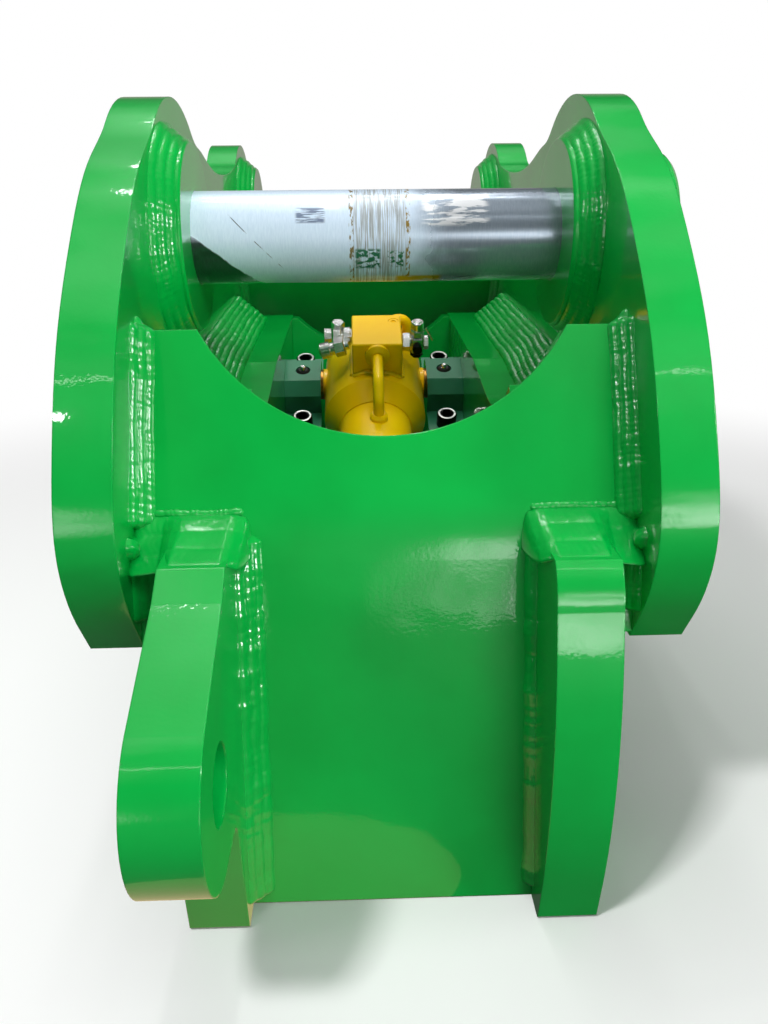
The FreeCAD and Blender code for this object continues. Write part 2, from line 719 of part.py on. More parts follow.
def trunnion_sleeve():
    """The thick ring round the barrel, with its coned front shoulder and the two trunnions."""
    ring = turned([(SLEEVE_FRONT - SLEEVE_CONE, BARREL_R + 1.0), (SLEEVE_FRONT, SLEEVE_R - 1.5),
                   (SLEEVE_FRONT + 2.0, SLEEVE_R), (SLEEVE_REAR - SLEEVE_CHAMFER, SLEEVE_R),
                   (SLEEVE_REAR, SLEEVE_R - SLEEVE_CHAMFER)], V(0, 0, 0), V(0, 1, 0))
    for sign in (1, -1):
        cheek = Part.makeCylinder(CHEEK_R, SLEEVE_FACE, V(0, 0, 0), V(sign, 0, 0))
        stub = Part.makeCylinder(TRUNNION_R, INNER_IN - TRUNNION_END, V(0, 0, 0), V(sign, 0, 0))
        ring = ring.fuse([cheek, stub])
    left, right = VALVE_X - VALVE_W / 2, VALVE_X + VALVE_W / 2
    flat = box(left, right, VALVE_FRONT, VALVE_REAR, valve_seat(), SLEEVE_R + 5)
    ring = ring.cut(flat)
    length = SLEEVE_REAR - SLEEVE_FRONT + SLEEVE_CONE + 2
    bore = Part.makeCylinder(BARREL_R, length, V(0, SLEEVE_FRONT - SLEEVE_CONE - 1, 0), V(0, 1, 0))
    return on_ram(ring.cut(bore))


def valve_seat():
    """The height of the flat on the sleeve that carries the valve block."""
    return SLEEVE_R - SEAT_DEPTH


def end_cap():
    rear, end = BARREL_REAR, BARREL_REAR + CAP_END
    plug = turned([(rear - CAP_T, BORE_R - 0.02), (rear, BORE_R - 0.02), (rear, BARREL_R),
                   (end - EDGE_BREAK, BARREL_R), (end, BARREL_R - EDGE_BREAK)], V(0, 0, 0), V(0, 1, 0))
    return on_ram(plug)


def gland():
    front = BARREL_FRONT - GLAND_FLANGE_T
    body = turned([(front, GLAND_FLANGE_R - EDGE_BREAK), (front + EDGE_BREAK, GLAND_FLANGE_R),
                   (BARREL_FRONT, GLAND_FLANGE_R), (BARREL_FRONT, BORE_R - 0.02),
                   (front + GLAND_T, BORE_R - 0.02)], V(0, 0, 0), V(0, 1, 0))
    hole = Part.makeCylinder(ROD_R + RUNNING_FIT, GLAND_T + 2, V(0, front - 1, 0), V(0, 1, 0))
    groove = Part.makeCylinder(ROD_R + SEAL_DEPTH, SEAL_W, V(0, front + ROD_SEAL_PLACE, 0), V(0, 1, 0))
    return on_ram(body.cut(hole).cut(groove))


def seal(inside, outside, start):
    """A seal ring that sits in its groove with a little room at both sides."""
    width = SEAL_W - 2 * SEAL_GAP
    ring = Part.makeCylinder(outside, width, V(0, start + SEAL_GAP, 0), V(0, 1, 0))
    return on_ram(ring.cut(Part.makeCylinder(inside, SEAL_W, V(0, start, 0), V(0, 1, 0))))


def rod_seal():
    start = BARREL_FRONT - GLAND_FLANGE_T + ROD_SEAL_PLACE
    return seal(ROD_R + RUNNING_FIT, ROD_R + SEAL_DEPTH - 0.1, start)


def gland_back():
    return BARREL_FRONT - GLAND_FLANGE_T + GLAND_T


def piston():
    front = gland_back() + PISTON_GAP
    body = Part.makeCylinder(BORE_R - RUNNING_FIT, PISTON_T, V(0, front, 0), V(0, 1, 0))
    place = V(0, front + PISTON_SEAL_PLACE, 0)
    groove = Part.makeCylinder(BORE_R + 1, SEAL_W, place, V(0, 1, 0))
    groove = groove.cut(Part.makeCylinder(BORE_R - SEAL_DEPTH, SEAL_W, place, V(0, 1, 0)))
    neck = Part.makeCylinder(ROD_NECK_R + 0.02, PISTON_T + 2, V(0, front - 1, 0), V(0, 1, 0))
    return on_ram(body.cut(groove).cut(neck))


def piston_seal():
    start = gland_back() + PISTON_GAP + PISTON_SEAL_PLACE
    return seal(BORE_R - SEAL_DEPTH + 0.1, BORE_R - RUNNING_FIT, start)


def piston_rod():
    """Rod with a necked end in the piston and a flat eye at the wedge end."""
    front = gland_back() + PISTON_GAP
    shaft = turned([(ROD_EYE_U, ROD_R), (front, ROD_R), (front, ROD_NECK_R), (front + PISTON_T, ROD_NECK_R)],
                   V(0, 0, 0), V(0, 1, 0))
    nut = hexagon(ROD_NUT_AF, ROD_NUT_H, V(0, front + PISTON_T, 0), V(0, 1, 0))
    half, shoulder = ROD_EYE_W / 2, ROD_EYE_U + ROD_EYE_R + 0.2 * ROD_R
    eye = rod_x(ROD_EYE_R, -half, half, ROD_EYE_U, 0)
    neck = turned([(ROD_EYE_U, 1.2 * ROD_R), (shoulder, 1.2 * ROD_R), (shoulder + 0.3 * ROD_R, ROD_R)],
                  V(0, 0, 0), V(0, 1, 0))
    neck = neck.common(box(-half, half, ROD_EYE_U, shoulder + ROD_R, -2 * ROD_R, 2 * ROD_R))
    rod = shaft.fuse([nut, eye, neck])
    return on_ram(rod.cut(rod_x(ROD_PIN_R + ROD_PIN_PLAY, -half - 1, half + 1, ROD_EYE_U, 0)))


# Valve block, tubes and fittings, in the ram's frame

def valve_block():
    left, right = VALVE_X - VALVE_W / 2, VALVE_X + VALVE_W / 2
    block = box(left, right, VALVE_FRONT, VALVE_REAR, valve_seat(), VALVE_TOP)
    block = block.makeChamfer(VALVE_CHAMFER, block.Edges)
    sink = Part.makeCylinder(PLUG_R, 2.0, V(VALVE_X + PLUG_X, VALVE_REAR - PLUG_U, VALVE_TOP - 2.0))
    return on_ram(block.cut(sink))


def valve_plug():
    x, u = VALVE_X + PLUG_X, VALVE_REAR - PLUG_U
    disc = Part.makeCylinder(PLUG_R - 0.4, 1.6, V(x, u, VALVE_TOP - 2.0))
    return on_ram(disc.cut(hexagon(5.0, 3.0, V(x, u, VALVE_TOP - 1.6), V(0, 0, 1))))


def bent_tube(points, radius, bend):
    """A steel tube along straight runs joined by arcs of one bend radius."""
    edges, last = [], points[0]
    for before, corner, after in zip(points, points[1:], points[2:]):
        into = corner.sub(before).normalize()
        out = after.sub(corner).normalize()
        half_turn = into.getAngle(out) / 2
        cut_back = bend * math.tan(half_turn)
        start = corner.sub(into * cut_back)
        end = corner.add(out * cut_back)
        inner = out.sub(into).normalize()
        middle = corner.add(inner * (bend / math.cos(half_turn) - bend))
        if start.sub(last).Length > 0.01:
            edges.append(Part.LineSegment(last, start).toShape())
        edges.append(Part.Arc(start, middle, end).toShape())
        last = end
    edges.append(Part.LineSegment(last, points[-1]).toShape())
    path = Part.Wire(edges)
    ring = Part.Wire(Part.makeCircle(radius, points[0], points[1].sub(points[0])))
    return path.makePipeShell([ring], True, False)


def front_tube():
    """From the front port of the valve block, over in a bow and down into the barrel."""
    x, down = VALVE_X, VALVE_FRONT - TUBE_REACH
    points = [V(x, VALVE_FRONT - PORT_T, PORT_W), V(x, down + 16.0, PORT_W), V(x, down, PORT_W - 18.0),
              V(x, down, BARREL_R + TUBE_R)]
    return on_ram(bent_tube(points, TUBE_R, TUBE_BEND))


def rear_tube():
    """From the rear of the valve block, round its right shoulder and down into the sleeve."""
    x, out, back = VALVE_X + REAR_PORT_X, VALVE_X + REAR_TUBE_X, VALVE_REAR + REAR_TUBE_BACK
    foot = math.sqrt(SLEEVE_R ** 2 - out ** 2)
    points = [V(x, VALVE_REAR + PORT_T, REAR_PORT_W), V(x, back, REAR_PORT_W),
              V(out, back, REAR_PORT_W), V(out, back, foot + SLEEVE_PORT_H)]
    return on_ram(bent_tube(points, REAR_TUBE_R, REAR_TUBE_BEND))


def tube_bosses():
    """The welded port bosses where the tubes enter block, barrel and sleeve."""
    x, down = VALVE_X, VALVE_FRONT - TUBE_REACH
    rim, past = TUBE_R + 1.5, PORT_T - 3.0
    front_port = turned([(0, PORT_R), (past, PORT_R), (PORT_T, rim)], V(x, VALVE_FRONT, PORT_W), V(0, -1, 0))
    barrel_port = turned([(0, SMALL_PORT_R), (13.0, SMALL_PORT_R), (16.0, rim)],
                         V(x, down, BARREL_R - 10.0), V(0, 0, 1))
    barrel_port = barrel_port.cut(Part.makeCylinder(BARREL_R, 60, V(0, down - 30.0, 0), V(0, 1, 0)))
    rear_port = turned([(0, SMALL_PORT_R), (past, SMALL_PORT_R), (PORT_T, rim)],
                       V(x + REAR_PORT_X, VALVE_REAR, REAR_PORT_W), V(0, 1, 0))
    out = x + REAR_TUBE_X
    foot = math.sqrt(SLEEVE_R ** 2 - out ** 2)
    sleeve_port = turned([(-SMALL_PORT_R, SMALL_PORT_R), (SLEEVE_PORT_H - 3.0, SMALL_PORT_R),
                          (SLEEVE_PORT_H, rim)], V(out, VALVE_REAR + REAR_TUBE_BACK, foot), V(0, 0, 1))
    sleeve = Part.makeCylinder(SLEEVE_R, 60, V(0, VALVE_REAR - 10.0, 0), V(0, 1, 0))
    return [on_ram(s) for s in (front_port, barrel_port, rear_port, sleeve_port.cut(sleeve))]


def left_fitting():
    """Hex adapter out of the block's left face, with an elbow and a capped swivel coupling."""
    x, u, w = VALVE_X - VALVE_W / 2, VALVE_REAR - 22.0, 82.0
    adapter = hexagon(17.0, 8.0, V(x, u, w), V(-1, 0, 0))
    stem = turned([(0, 5.0), (14.0, 5.0)], V(x, u, w), V(-1, 0, 0))
    elbow = hexagon(14.0, 15.0, V(x - 14.0, u + 7.0, w), V(0, -1, 0))
    coupling = turned([(0, 5.0), (6.0, 5.0), (6.0, 7.2), (22.0, 7.2), (22.0, 6.0), (34.0, 6.0), (35.0, 5.0)],
                      V(x - 4.0, u - 16.0, w - 1.0), V(-1, -0.05, -0.24))
    link = turned([(0, 4.5), (16.0, 4.5)], V(x - 13.0, u, w - 2.0), V(0, -1, 0))
    return on_ram(adapter.fuse([stem, elbow, coupling, link]))


def right_fitting():
    """Hex adapter out of the block's right face, with an elbow body and a capped upright stub."""
    x, u, w = VALVE_X + VALVE_W / 2, VALVE_REAR - 26.0, 76.0
    adapter = hexagon(14.0, 9.0, V(x, u, w), V(1, 0, 0))
    stem = turned([(0, 4.5), (16.0, 4.5)], V(x, u, w), V(1, 0, 0))
    body = box(x + 12.0, x + 26.0, u - 8.0, u + 8.0, w - 12.0, w + 8.0)
    stub = turned([(0, 4.2), (8.0, 4.2), (8.0, 5.8), (18.0, 5.8), (20.0, 4.6)],
                  V(x + 19.0, u, w + 8.0), V(0, 0, 1))
    return on_ram(adapter.fuse([stem, body.makeChamfer(1.5, body.Edges), stub]))


# Lock wedge, in its slide frame: Y runs back up the slope from the tip, Z is height over its sole

def to_slide(y, z):
    """A point of the coupler's side view in the wedge's slide frame."""
    dy, dz = y - WEDGE_TIP_Y, z - WEDGE_TIP_Z
    return (dy * SLIDE_COS + dz * SLIDE_SIN, -dy * SLIDE_SIN + dz * SLIDE_COS)


def wedge_length():
    return (WEDGE_REAR_Y - WEDGE_TIP_Y) / SLIDE_COS


def wedge_face(along):
    """The height of the pin face over the sole: it touches the tool pin and rises by the wedge angle."""
    pin = to_slide(SEAT_Y, SEAT_Z)
    touch = (pin[0] + TOOL_PIN_R * math.sin(rad(WEDGE_ANGLE)),
             pin[1] - TOOL_PIN_R * math.cos(rad(WEDGE_ANGLE)))
    return touch[1] + (along - touch[0]) * math.tan(rad(WEDGE_ANGLE))


def shoulder_start():
    return to_slide(SEAT_Y + SEAT_R + 6.0, SEAT_Z)[0]


def lock_wedge():
    length = wedge_length()
    eye_s, eye_h = ROD_EYE_ALONG, ROD_EYE_HEIGHT
    body = Outline((0.0, 0.0))
    body.line((length, 0.0))
    body.line((length, wedge_face(length) - 12.0))
    body.line((length - 12.0, wedge_face(length - 12.0)))
    body.line((4.0, wedge_face(4.0)))
    body.line((0.0, wedge_face(0.0) - 5.0))
    wedge = body.extrude(-WEDGE_HALF, WEDGE_HALF)
    start = shoulder_start()
    for sign in (1, -1):
        edge = sorted((sign * (WEDGE_HALF - SHOULDER_W), sign * (WEDGE_HALF + 1)))
        wedge = wedge.cut(box(edge[0], edge[1], start, length + 1, SHOULDER_H, SHOULDER_H + 80))
    lug = Outline((eye_s - LUG_SPREAD, SHOULDER_H / 2))
    lug.line((eye_s + LUG_SPREAD, SHOULDER_H / 2))
    lug.line(polar(eye_s, eye_h, LUG_R, -18))
    lug.arc(polar(eye_s, eye_h, LUG_R, 90), polar(eye_s, eye_h, LUG_R, 198))
    inner = ROD_EYE_W / 2 + LUG_GAP
    right = lug.extrude(inner, inner + LUG_T)
    wedge = wedge.fuse(both_sides(right))
    wedge = wedge.cut(rod_x(ROD_PIN_R + 0.05, -inner - LUG_T - 1, inner + LUG_T + 1, eye_s, eye_h))
    return on_slide(wedge)


def rod_pin():
    eye_s, eye_h = ROD_EYE_ALONG, ROD_EYE_HEIGHT
    lug = ROD_EYE_W / 2 + LUG_GAP + LUG_T
    groove, end, low = lug + 1.0, lug + PIN_PAST_LUG, ROD_PIN_R - CLIP_DEPTH
    half = [(0, ROD_PIN_R), (groove, ROD_PIN_R), (groove, low), (groove + CLIP_GROOVE, low),
            (groove + CLIP_GROOVE, ROD_PIN_R), (end - CLIP_DEPTH, ROD_PIN_R), (end, low)]
    profile = [(-along, radius) for along, radius in reversed(half[1:])] + half[1:]
    return on_slide(turned(profile, V(0, eye_s, eye_h), V(1, 0, 0)))


def rod_pin_clips():
    """A circlip in each groove of the rod pin, against the lug."""
    eye_s, eye_h = ROD_EYE_ALONG, ROD_EYE_HEIGHT
    outside = ROD_EYE_W / 2 + LUG_GAP + LUG_T
    inside = outside + 1.0 + (CLIP_GROOVE - CLIP_T) / 2
    ring = rod_x(ROD_PIN_R + 2 * CLIP_DEPTH, inside, inside + CLIP_T, eye_s, eye_h)
    ring = ring.cut(rod_x(ROD_PIN_R - CLIP_DEPTH + 0.1, outside, inside + 2 * CLIP_T, eye_s, eye_h))
    end, high = outside + PIN_PAST_LUG, eye_h + 2 * ROD_PIN_R
    mouth = box(outside, end, eye_s - CLIP_DEPTH, eye_s + CLIP_DEPTH, eye_h, high)
    return [on_slide(s) for s in both_sides(ring.cut(mouth))]


def guide(low):
    """A right guide rail with its wear strip: below the sole, or above the shoulder."""
    start, end = shoulder_start() + 4.0, wedge_length() + WEDGE_TRAVEL - 40.0
    inside = INNER_IN - GUIDE_W
    if low:
        strip = box(inside + 1, INNER_IN, start, end, -SLIDE_GAP - STRIP_T, -SLIDE_GAP)
        rail = box(inside, INNER_IN, start, end, -SLIDE_GAP - STRIP_T - GUIDE_T, -SLIDE_GAP - STRIP_T)
    else:
        height = SHOULDER_H + SLIDE_GAP
        strip = box(inside + 1, INNER_IN, start, end, height, height + STRIP_T)
        rail = box(inside, INNER_IN, start, end, height + STRIP_T, height + STRIP_T + GUIDE_T)
    return on_slide(rail), on_slide(strip)


# Cross members between the inner plates

def belly_plate():
    return box(-INNER_IN, INNER_IN, BELLY_FRONT, BELLY_REAR, FOOT_Z, FOOT_Z + BELLY_T)


def rear_plate():
    """The plate behind the ram, level with the deck at its ends and hollowed between them."""
    front, back = REAR_PLATE_Y, REAR_PLATE_Y + REAR_PLATE_T
    top = deck_height(back)
    half = REAR_HOLLOW_CHORD / 2
    radius = (half * half + REAR_HOLLOW_DEPTH ** 2) / (2 * REAR_HOLLOW_DEPTH)
    plate = box(-INNER_IN, INNER_IN, front, back, REAR_PLATE_BOTTOM, top)
    centre = V(0, front - 1, top + radius - REAR_HOLLOW_DEPTH)
    return plate.cut(Part.makeCylinder(radius, REAR_PLATE_T + 2, centre, V(0, 1, 0)))


def ear_tie():
    """The bent plate between the outer plates: round the link's swing, then straight down and back."""
    inside, outside, turn = TIE_CLEAR_R, TIE_CLEAR_R + TIE_T, TIE_BEND_ANGLE
    start = [180 + math.degrees(math.asin(-TIE_TOP_Z / radius)) for radius in (outside, inside)]
    down = (-math.sin(rad(turn)) * TIE_STRAIGHT, math.cos(rad(turn)) * TIE_STRAIGHT)
    bend_front, bend_back = [polar(PIN_CENTRES, 0, radius, turn) for radius in (outside, inside)]
    outline = Outline(polar(PIN_CENTRES, 0, outside, start[0]))
    outline.arc(polar(PIN_CENTRES, 0, outside, (start[0] + turn) / 2), bend_front)
    outline.line((bend_front[0] + down[0], bend_front[1] + down[1]))
    outline.line((bend_back[0] + down[0], bend_back[1] + down[1]))
    outline.line(bend_back)
    outline.arc(polar(PIN_CENTRES, 0, inside, (start[1] + turn) / 2),
                polar(PIN_CENTRES, 0, inside, start[1]))
    return outline.extrude(-OUTER_IN, OUTER_IN)


def cross_plate():
    """The upright web on the belly plate, ahead of the fixed hook."""
    return box(-INNER_IN, INNER_IN, BELLY_REAR - WEB_T, BELLY_REAR, FOOT_Z + BELLY_T, WEB_TOP)


def main():
    os.makedirs("parts", exist_ok=True)
    save("outer_plate_left", outer_plate(-OUTER_OUT, -OUTER_IN))
    save("outer_plate_right", outer_plate(OUTER_IN, OUTER_OUT))
    front_right, front_left = both_sides(boss(FRONT_BOSS_R, 0))
    rear_right, rear_left = both_sides(boss(REAR_BOSS_R, PIN_CENTRES))
    save("front_boss_right", front_right)
    save("front_boss_left", front_left)
    save("rear_boss_right", rear_right)
    save("rear_boss_left", rear_left)
    save("inner_plate_left", inner_plate(-INNER_OUT, -INNER_IN, True))
    save("inner_plate_right", inner_plate(INNER_IN, INNER_OUT, False))
    spacer_right, spacer_left = both_sides(spacer_outline().extrude(INNER_OUT, OUTER_IN))
    save("spacer_right", spacer_right)
    save("spacer_left", spacer_left)
    weld_right, weld_left = both_sides(groove_weld())
    save("groove_weld_right", weld_right)
    save("groove_weld_left", weld_left)
    save("front_plate", front_plate())
    save("stick_pin", stick_pin())
    save("pin_collar", pin_collar())
    save("pin_lock_bolt", lock_bolt())
    save("pin_lock_nuts", lock_nuts())
    block_right, block_left = both_sides(bearing_block())
    save("bearing_block_right", block_right)
    save("bearing_block_left", block_left)
    rail_right, rail_left = both_sides(bearer_rail())
    save("bearer_rail_right", rail_right)
    save("bearer_rail_left", rail_left)
    save("bearing_bushes", both_sides(bearing_bush()))
    save("thrust_washers", both_sides(thrust_washer()))
    save("bearing_block_bolts", both_sides(block_bolt(BOLT_U)) + both_sides(block_bolt(-BOLT_U)))
    save("grease_nipples", both_sides(grease_nipple()))
    save("ram_barrel", barrel())
    save("trunnion_sleeve", trunnion_sleeve())
    save("ram_end_cap", end_cap())
    save("ram_gland", gland())
    save("rod_seal", rod_seal())
    save("valve_block", valve_block())
    save("valve_plug", valve_plug())
    save("front_tube", front_tube())
    save("rear_tube", rear_tube())
    save("tube_bosses", tube_bosses())
    save("left_port_fitting", left_fitting())
    save("right_port_fitting", right_fitting())
    save("piston", piston())
    save("piston_seal", piston_seal())
    save("piston_rod", piston_rod())
    save("lock_wedge", lock_wedge())
    save("rod_pin", rod_pin())
    save("rod_pin_clips", rod_pin_clips())
    low_rail, low_strip = guide(True)
    high_rail, high_strip = guide(False)
    save("lower_guide_rails", both_sides(low_rail))
    save("upper_guide_rails", both_sides(high_rail))
    save("wear_strips", both_sides(low_strip) + both_sides(high_strip))
    save("belly_plate", belly_plate())
    save("cross_plate", cross_plate())
    save("rear_plate", rear_plate())
    save("ear_tie_plate", ear_tie())
    open_y, open_z = ROD_EYE_Y + WEDGE_TRAVEL * SLIDE_COS, ROD_EYE_Z + WEDGE_TRAVEL * SLIDE_SIN
    reach = math.hypot(TRUNNION_Y - open_y, TRUNNION_Z - open_z)
    lean = math.degrees(math.atan2(TRUNNION_Z - open_z, TRUNNION_Y - open_y))
    print("ram stroke", round(-ROD_EYE_U - reach, 3), "ram swing in degrees", round(lean - RAM_SLOPE, 4))


main()
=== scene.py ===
# %% [markdown]
# # An excavator quick coupler, dressed for a studio picture
#
# The coupler hangs on an excavator's stick and swaps buckets without tools. Its solids come
# ready made from the frame: thick plates, a stick pin, a ram in trunnions and a lock wedge.
# This lesson gives them what makes a welded and painted machine part look real: runs of weld
# with their ripples, glossy enamel with a soft orange peel, and bare steel where things rub.
# Everything is in metres, and every piece stays in the solids' own frame.

import math

import bmesh
import bpy
from mathutils import Matrix, Vector, noise


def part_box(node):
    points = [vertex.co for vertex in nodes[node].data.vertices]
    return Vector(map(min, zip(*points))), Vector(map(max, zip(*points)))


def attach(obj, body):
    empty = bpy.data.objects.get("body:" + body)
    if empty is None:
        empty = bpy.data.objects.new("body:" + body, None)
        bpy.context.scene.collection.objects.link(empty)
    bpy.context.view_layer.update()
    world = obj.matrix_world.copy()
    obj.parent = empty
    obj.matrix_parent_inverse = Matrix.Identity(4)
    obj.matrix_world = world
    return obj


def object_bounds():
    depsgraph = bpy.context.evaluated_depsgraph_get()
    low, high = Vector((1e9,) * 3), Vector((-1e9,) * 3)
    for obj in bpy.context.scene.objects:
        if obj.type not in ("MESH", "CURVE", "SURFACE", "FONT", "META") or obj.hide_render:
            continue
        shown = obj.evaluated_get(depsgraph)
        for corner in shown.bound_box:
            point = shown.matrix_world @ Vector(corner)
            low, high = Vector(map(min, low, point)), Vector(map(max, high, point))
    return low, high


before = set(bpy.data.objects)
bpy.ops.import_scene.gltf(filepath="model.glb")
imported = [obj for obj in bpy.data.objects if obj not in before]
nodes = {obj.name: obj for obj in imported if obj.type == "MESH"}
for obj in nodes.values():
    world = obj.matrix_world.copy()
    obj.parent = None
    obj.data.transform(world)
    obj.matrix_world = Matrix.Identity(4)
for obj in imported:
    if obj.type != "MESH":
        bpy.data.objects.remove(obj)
cad_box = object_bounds()
MM = 0.001
print("solids:", len(nodes), "box:", cad_box)

# %% [markdown]
# ## Camera
#
# The picture is taken standing in front of the coupler, a little above it, with a phone. A
# lens can be set by its field of view or by its focal length. Here the focal length is worked
# out from how fast the plates shrink with distance, which fixes the whole perspective.

# %% Camera
CAMERA_PLACE = (-0.01916, -0.81425, 0.02995)
PITCH_DOWN = 0.35062
YAW_RIGHT = 0.02892
ROLL = -0.01006
LENS = 29.88

camera = bpy.data.objects.new("studio_camera", bpy.data.cameras.new("studio_camera"))
bpy.context.scene.collection.objects.link(camera)
camera.data.sensor_fit = "VERTICAL"
camera.data.sensor_height = 36.0
camera.data.lens = LENS
camera.data.clip_start = 0.05
forward = Vector((math.sin(YAW_RIGHT) * math.cos(PITCH_DOWN),
                  math.cos(YAW_RIGHT) * math.cos(PITCH_DOWN), -math.sin(PITCH_DOWN)))
level_right = Vector((math.cos(YAW_RIGHT), -math.sin(YAW_RIGHT), 0))
level_up = level_right.cross(forward)
right = level_right * math.cos(ROLL) + level_up * math.sin(ROLL)
up = level_up * math.cos(ROLL) - level_right * math.sin(ROLL)
turn = Matrix((right, up, -forward)).transposed()
camera.matrix_world = Matrix.Translation(CAMERA_PLACE) @ turn.to_4x4()
bpy.context.scene.camera = camera
bpy.context.scene.view_settings.view_transform = "Standard"
print("camera looks along", tuple(round(v, 3) for v in forward))

# %% [markdown]
# ## Small helpers for materials
#
# Colours are picked as sRGB hex values, as in a paint chart, but shaders work in linear
# light, so one function turns one into the other. A second one adds a node to any tree,
# with its settings and links, and the short ones after it spell out the commonest nodes.

# %% Helpers for colours and nodes
NOISE, PLACE, SPLIT = "ShaderNodeTexNoise", "ShaderNodeTexCoord", "ShaderNodeSeparateXYZ"


def colour(hex_value):
    """A linear RGBA colour from an sRGB hex value."""
    parts = [int(hex_value[i:i + 2], 16) / 255 for i in (1, 3, 5)]
    linear = [p / 12.92 if p <= 0.04045 else ((p + 0.055) / 1.055) ** 2.4 for p in parts]
    return (*linear, 1.0)


def add(tree, kind, inputs=None, out=None, stops=(), **settings):
    """Adds a node: inputs are values, hex colours or sockets to link, stops are a ramp's.

    With out, the name or number of an output, it gives that socket, and else the node.
    """
    made = tree.nodes.new(kind)
    for name, value in settings.items():
        setattr(made, name, value)
    for name, value in (inputs or {}).items():
        if isinstance(value, bpy.types.NodeSocket):
            tree.links.new(value, made.inputs[name])
        else:
            is_hex = isinstance(value, str) and value.startswith("#")
            made.inputs[name].default_value = colour(value) if is_hex else value
    for i, (place, value) in enumerate(stops):
        steps = made.color_ramp.elements
        step = steps[i] if i < 2 else steps.new(place)
        step.position = place
        step.color = colour(value) if isinstance(value, str) else (value, value, value, 1)
    return made if out is None else made.outputs[out]


def maths(tree, operation, *values, **settings):
    """A Math node on values or sockets."""
    return add(tree, "ShaderNodeMath", dict(enumerate(values)), 0, operation=operation,
               **settings)


def vectors(tree, operation, *values):
    """A Vector Math node. A distance or a dot product comes out as a number."""
    out = "Value" if operation in ("DISTANCE", "DOT_PRODUCT") else 0
    return add(tree, "ShaderNodeVectorMath", dict(enumerate(values)), out, operation=operation)


def scaled(tree, vector, scale):
    """A vector times a number."""
    return add(tree, "ShaderNodeVectorMath", {0: vector, "Scale": scale}, 0, operation="SCALE")


def ranged(tree, value, start, end, low=0.0, high=1.0, smooth=False):
    """The span from start to end, drawn over the one from low to high and clamped there."""
    return add(tree, "ShaderNodeMapRange", {"Value": value, "From Min": start, "From Max": end,
                                            "To Min": low, "To Max": high}, 0,
               interpolation_type="SMOOTHSTEP" if smooth else "LINEAR")


def bumped(tree, height, depth, normal=None):
    """A normal bent by waves of a depth in metres, over another bend where one is given."""
    inputs = {"Height": height, "Strength": 1.0, "Distance": depth}
    if normal is not None:
        inputs["Normal"] = normal
    return add(tree, "ShaderNodeBump", inputs, 0)


def noisy(tree, place, scale, detail):
    """A Noise Texture's value at a place."""
    return add(tree, NOISE, {"Vector": place, "Scale": scale, "Detail": detail}, "Fac")


def ramp(tree, value, *stops):
    """A value drawn over a ramp of stops: places with a hex colour or a grey."""
    return add(tree, "ShaderNodeValToRGB", {"Fac": value}, 0, stops=stops)


def mixed(tree, share, tint, other):
    """A share of the other colour over a tint."""
    return add(tree, "ShaderNodeMix", {"Factor": share, "A": tint, "B": other}, 2,
               data_type="RGBA")


def whiteness(tree, paths, in_gloss):
    """How white a ray sees a thing: all white from the camera, and in part in the gloss."""
    gloss = maths(tree, "MAXIMUM", paths["Is Glossy Ray"], paths["Is Transmission Ray"])
    gloss = maths(tree, "MULTIPLY", gloss, in_gloss)
    return maths(tree, "MAXIMUM", gloss, paths["Is Camera Ray"])


def finish_named(name, **shader):
    """A new material with one Principled shader, its tree, and the shader node."""
    made = bpy.data.materials.new(name)
    made.use_nodes = True
    tree = made.node_tree
    principled = tree.nodes["Principled BSDF"]
    for socket, value in shader.items():
        principled.inputs[socket.replace("_", " ")].default_value = value
    return made, tree, principled


# %% [markdown]
# ## Floor and light
#
# The coupler stands on a pale studio floor. A white floor lit to white would also throw a lot
# of light up into the paint, so the floor is dark to every ray but the camera's, which sees
# it lifted to white. The shadow stays, because it is taken from the light that falls on the
# floor. Glossy rays see a little of that white, and also a patch of warm light in front of
# the coupler, which shines in the lower part of its front plate.

# %% Floor
WHITE = (1, 1, 1, 1)
FLOOR_Z = cad_box[0][2]
FLOOR_HALF = 3.0
FLOOR_LIFT = 0.12
SHADOW_REACH = (0.85, 1.7)
WHITE_IN_GLOSS = 0.06
PATCH_PLACE, PATCH_RADIUS = (-0.10, -0.36, FLOOR_Z), 0.16
PATCH_COLOUR, PATCH_STRENGTH = (1.0, 0.75, 0.35, 1.0), 0.65

floor_mesh = bpy.data.meshes.new("studio_floor")
corners = [(x * FLOOR_HALF, y * FLOOR_HALF, FLOOR_Z)
           for x, y in ((-1, -1), (1, -1), (1, 1), (-1, 1))]
floor_mesh.from_pydata(corners, [], [(0, 1, 2, 3)])
floor = bpy.data.objects.new("studio_floor", floor_mesh)
bpy.context.scene.collection.objects.link(floor)
floor_paint, tree, shader = finish_named("studio_floor_paint", Roughness=0.9,
                                         Specular_IOR_Level=0.1)
shader.inputs["Base Color"].default_value = colour("#3C3C3C")
paths = add(tree, "ShaderNodeLightPath").outputs
shown = whiteness(tree, paths, WHITE_IN_GLOSS)
pale = add(tree, "ShaderNodeBsdfDiffuse", {"Color": "#E8E8E8"}, 0)
lift = add(tree, "ShaderNodeEmission", {"Color": WHITE, "Strength": FLOOR_LIFT}, 0)
lit = add(tree, "ShaderNodeAddShader", {0: pale, 1: lift}, 0)
white = add(tree, "ShaderNodeEmission", {"Color": WHITE, "Strength": 1.0}, 0)
place = add(tree, PLACE, out="Object")
distance = vectors(tree, "DISTANCE", place, (0.0, 0.0, FLOOR_Z))
far = ranged(tree, distance, *SHADOW_REACH, smooth=True)
ground = add(tree, "ShaderNodeMixShader", {0: far, 1: lit, 2: white}, 0)
near = vectors(tree, "DISTANCE", place, PATCH_PLACE)
near = maths(tree, "LESS_THAN", near, PATCH_RADIUS)
near = maths(tree, "MULTIPLY", near, paths["Is Glossy Ray"])
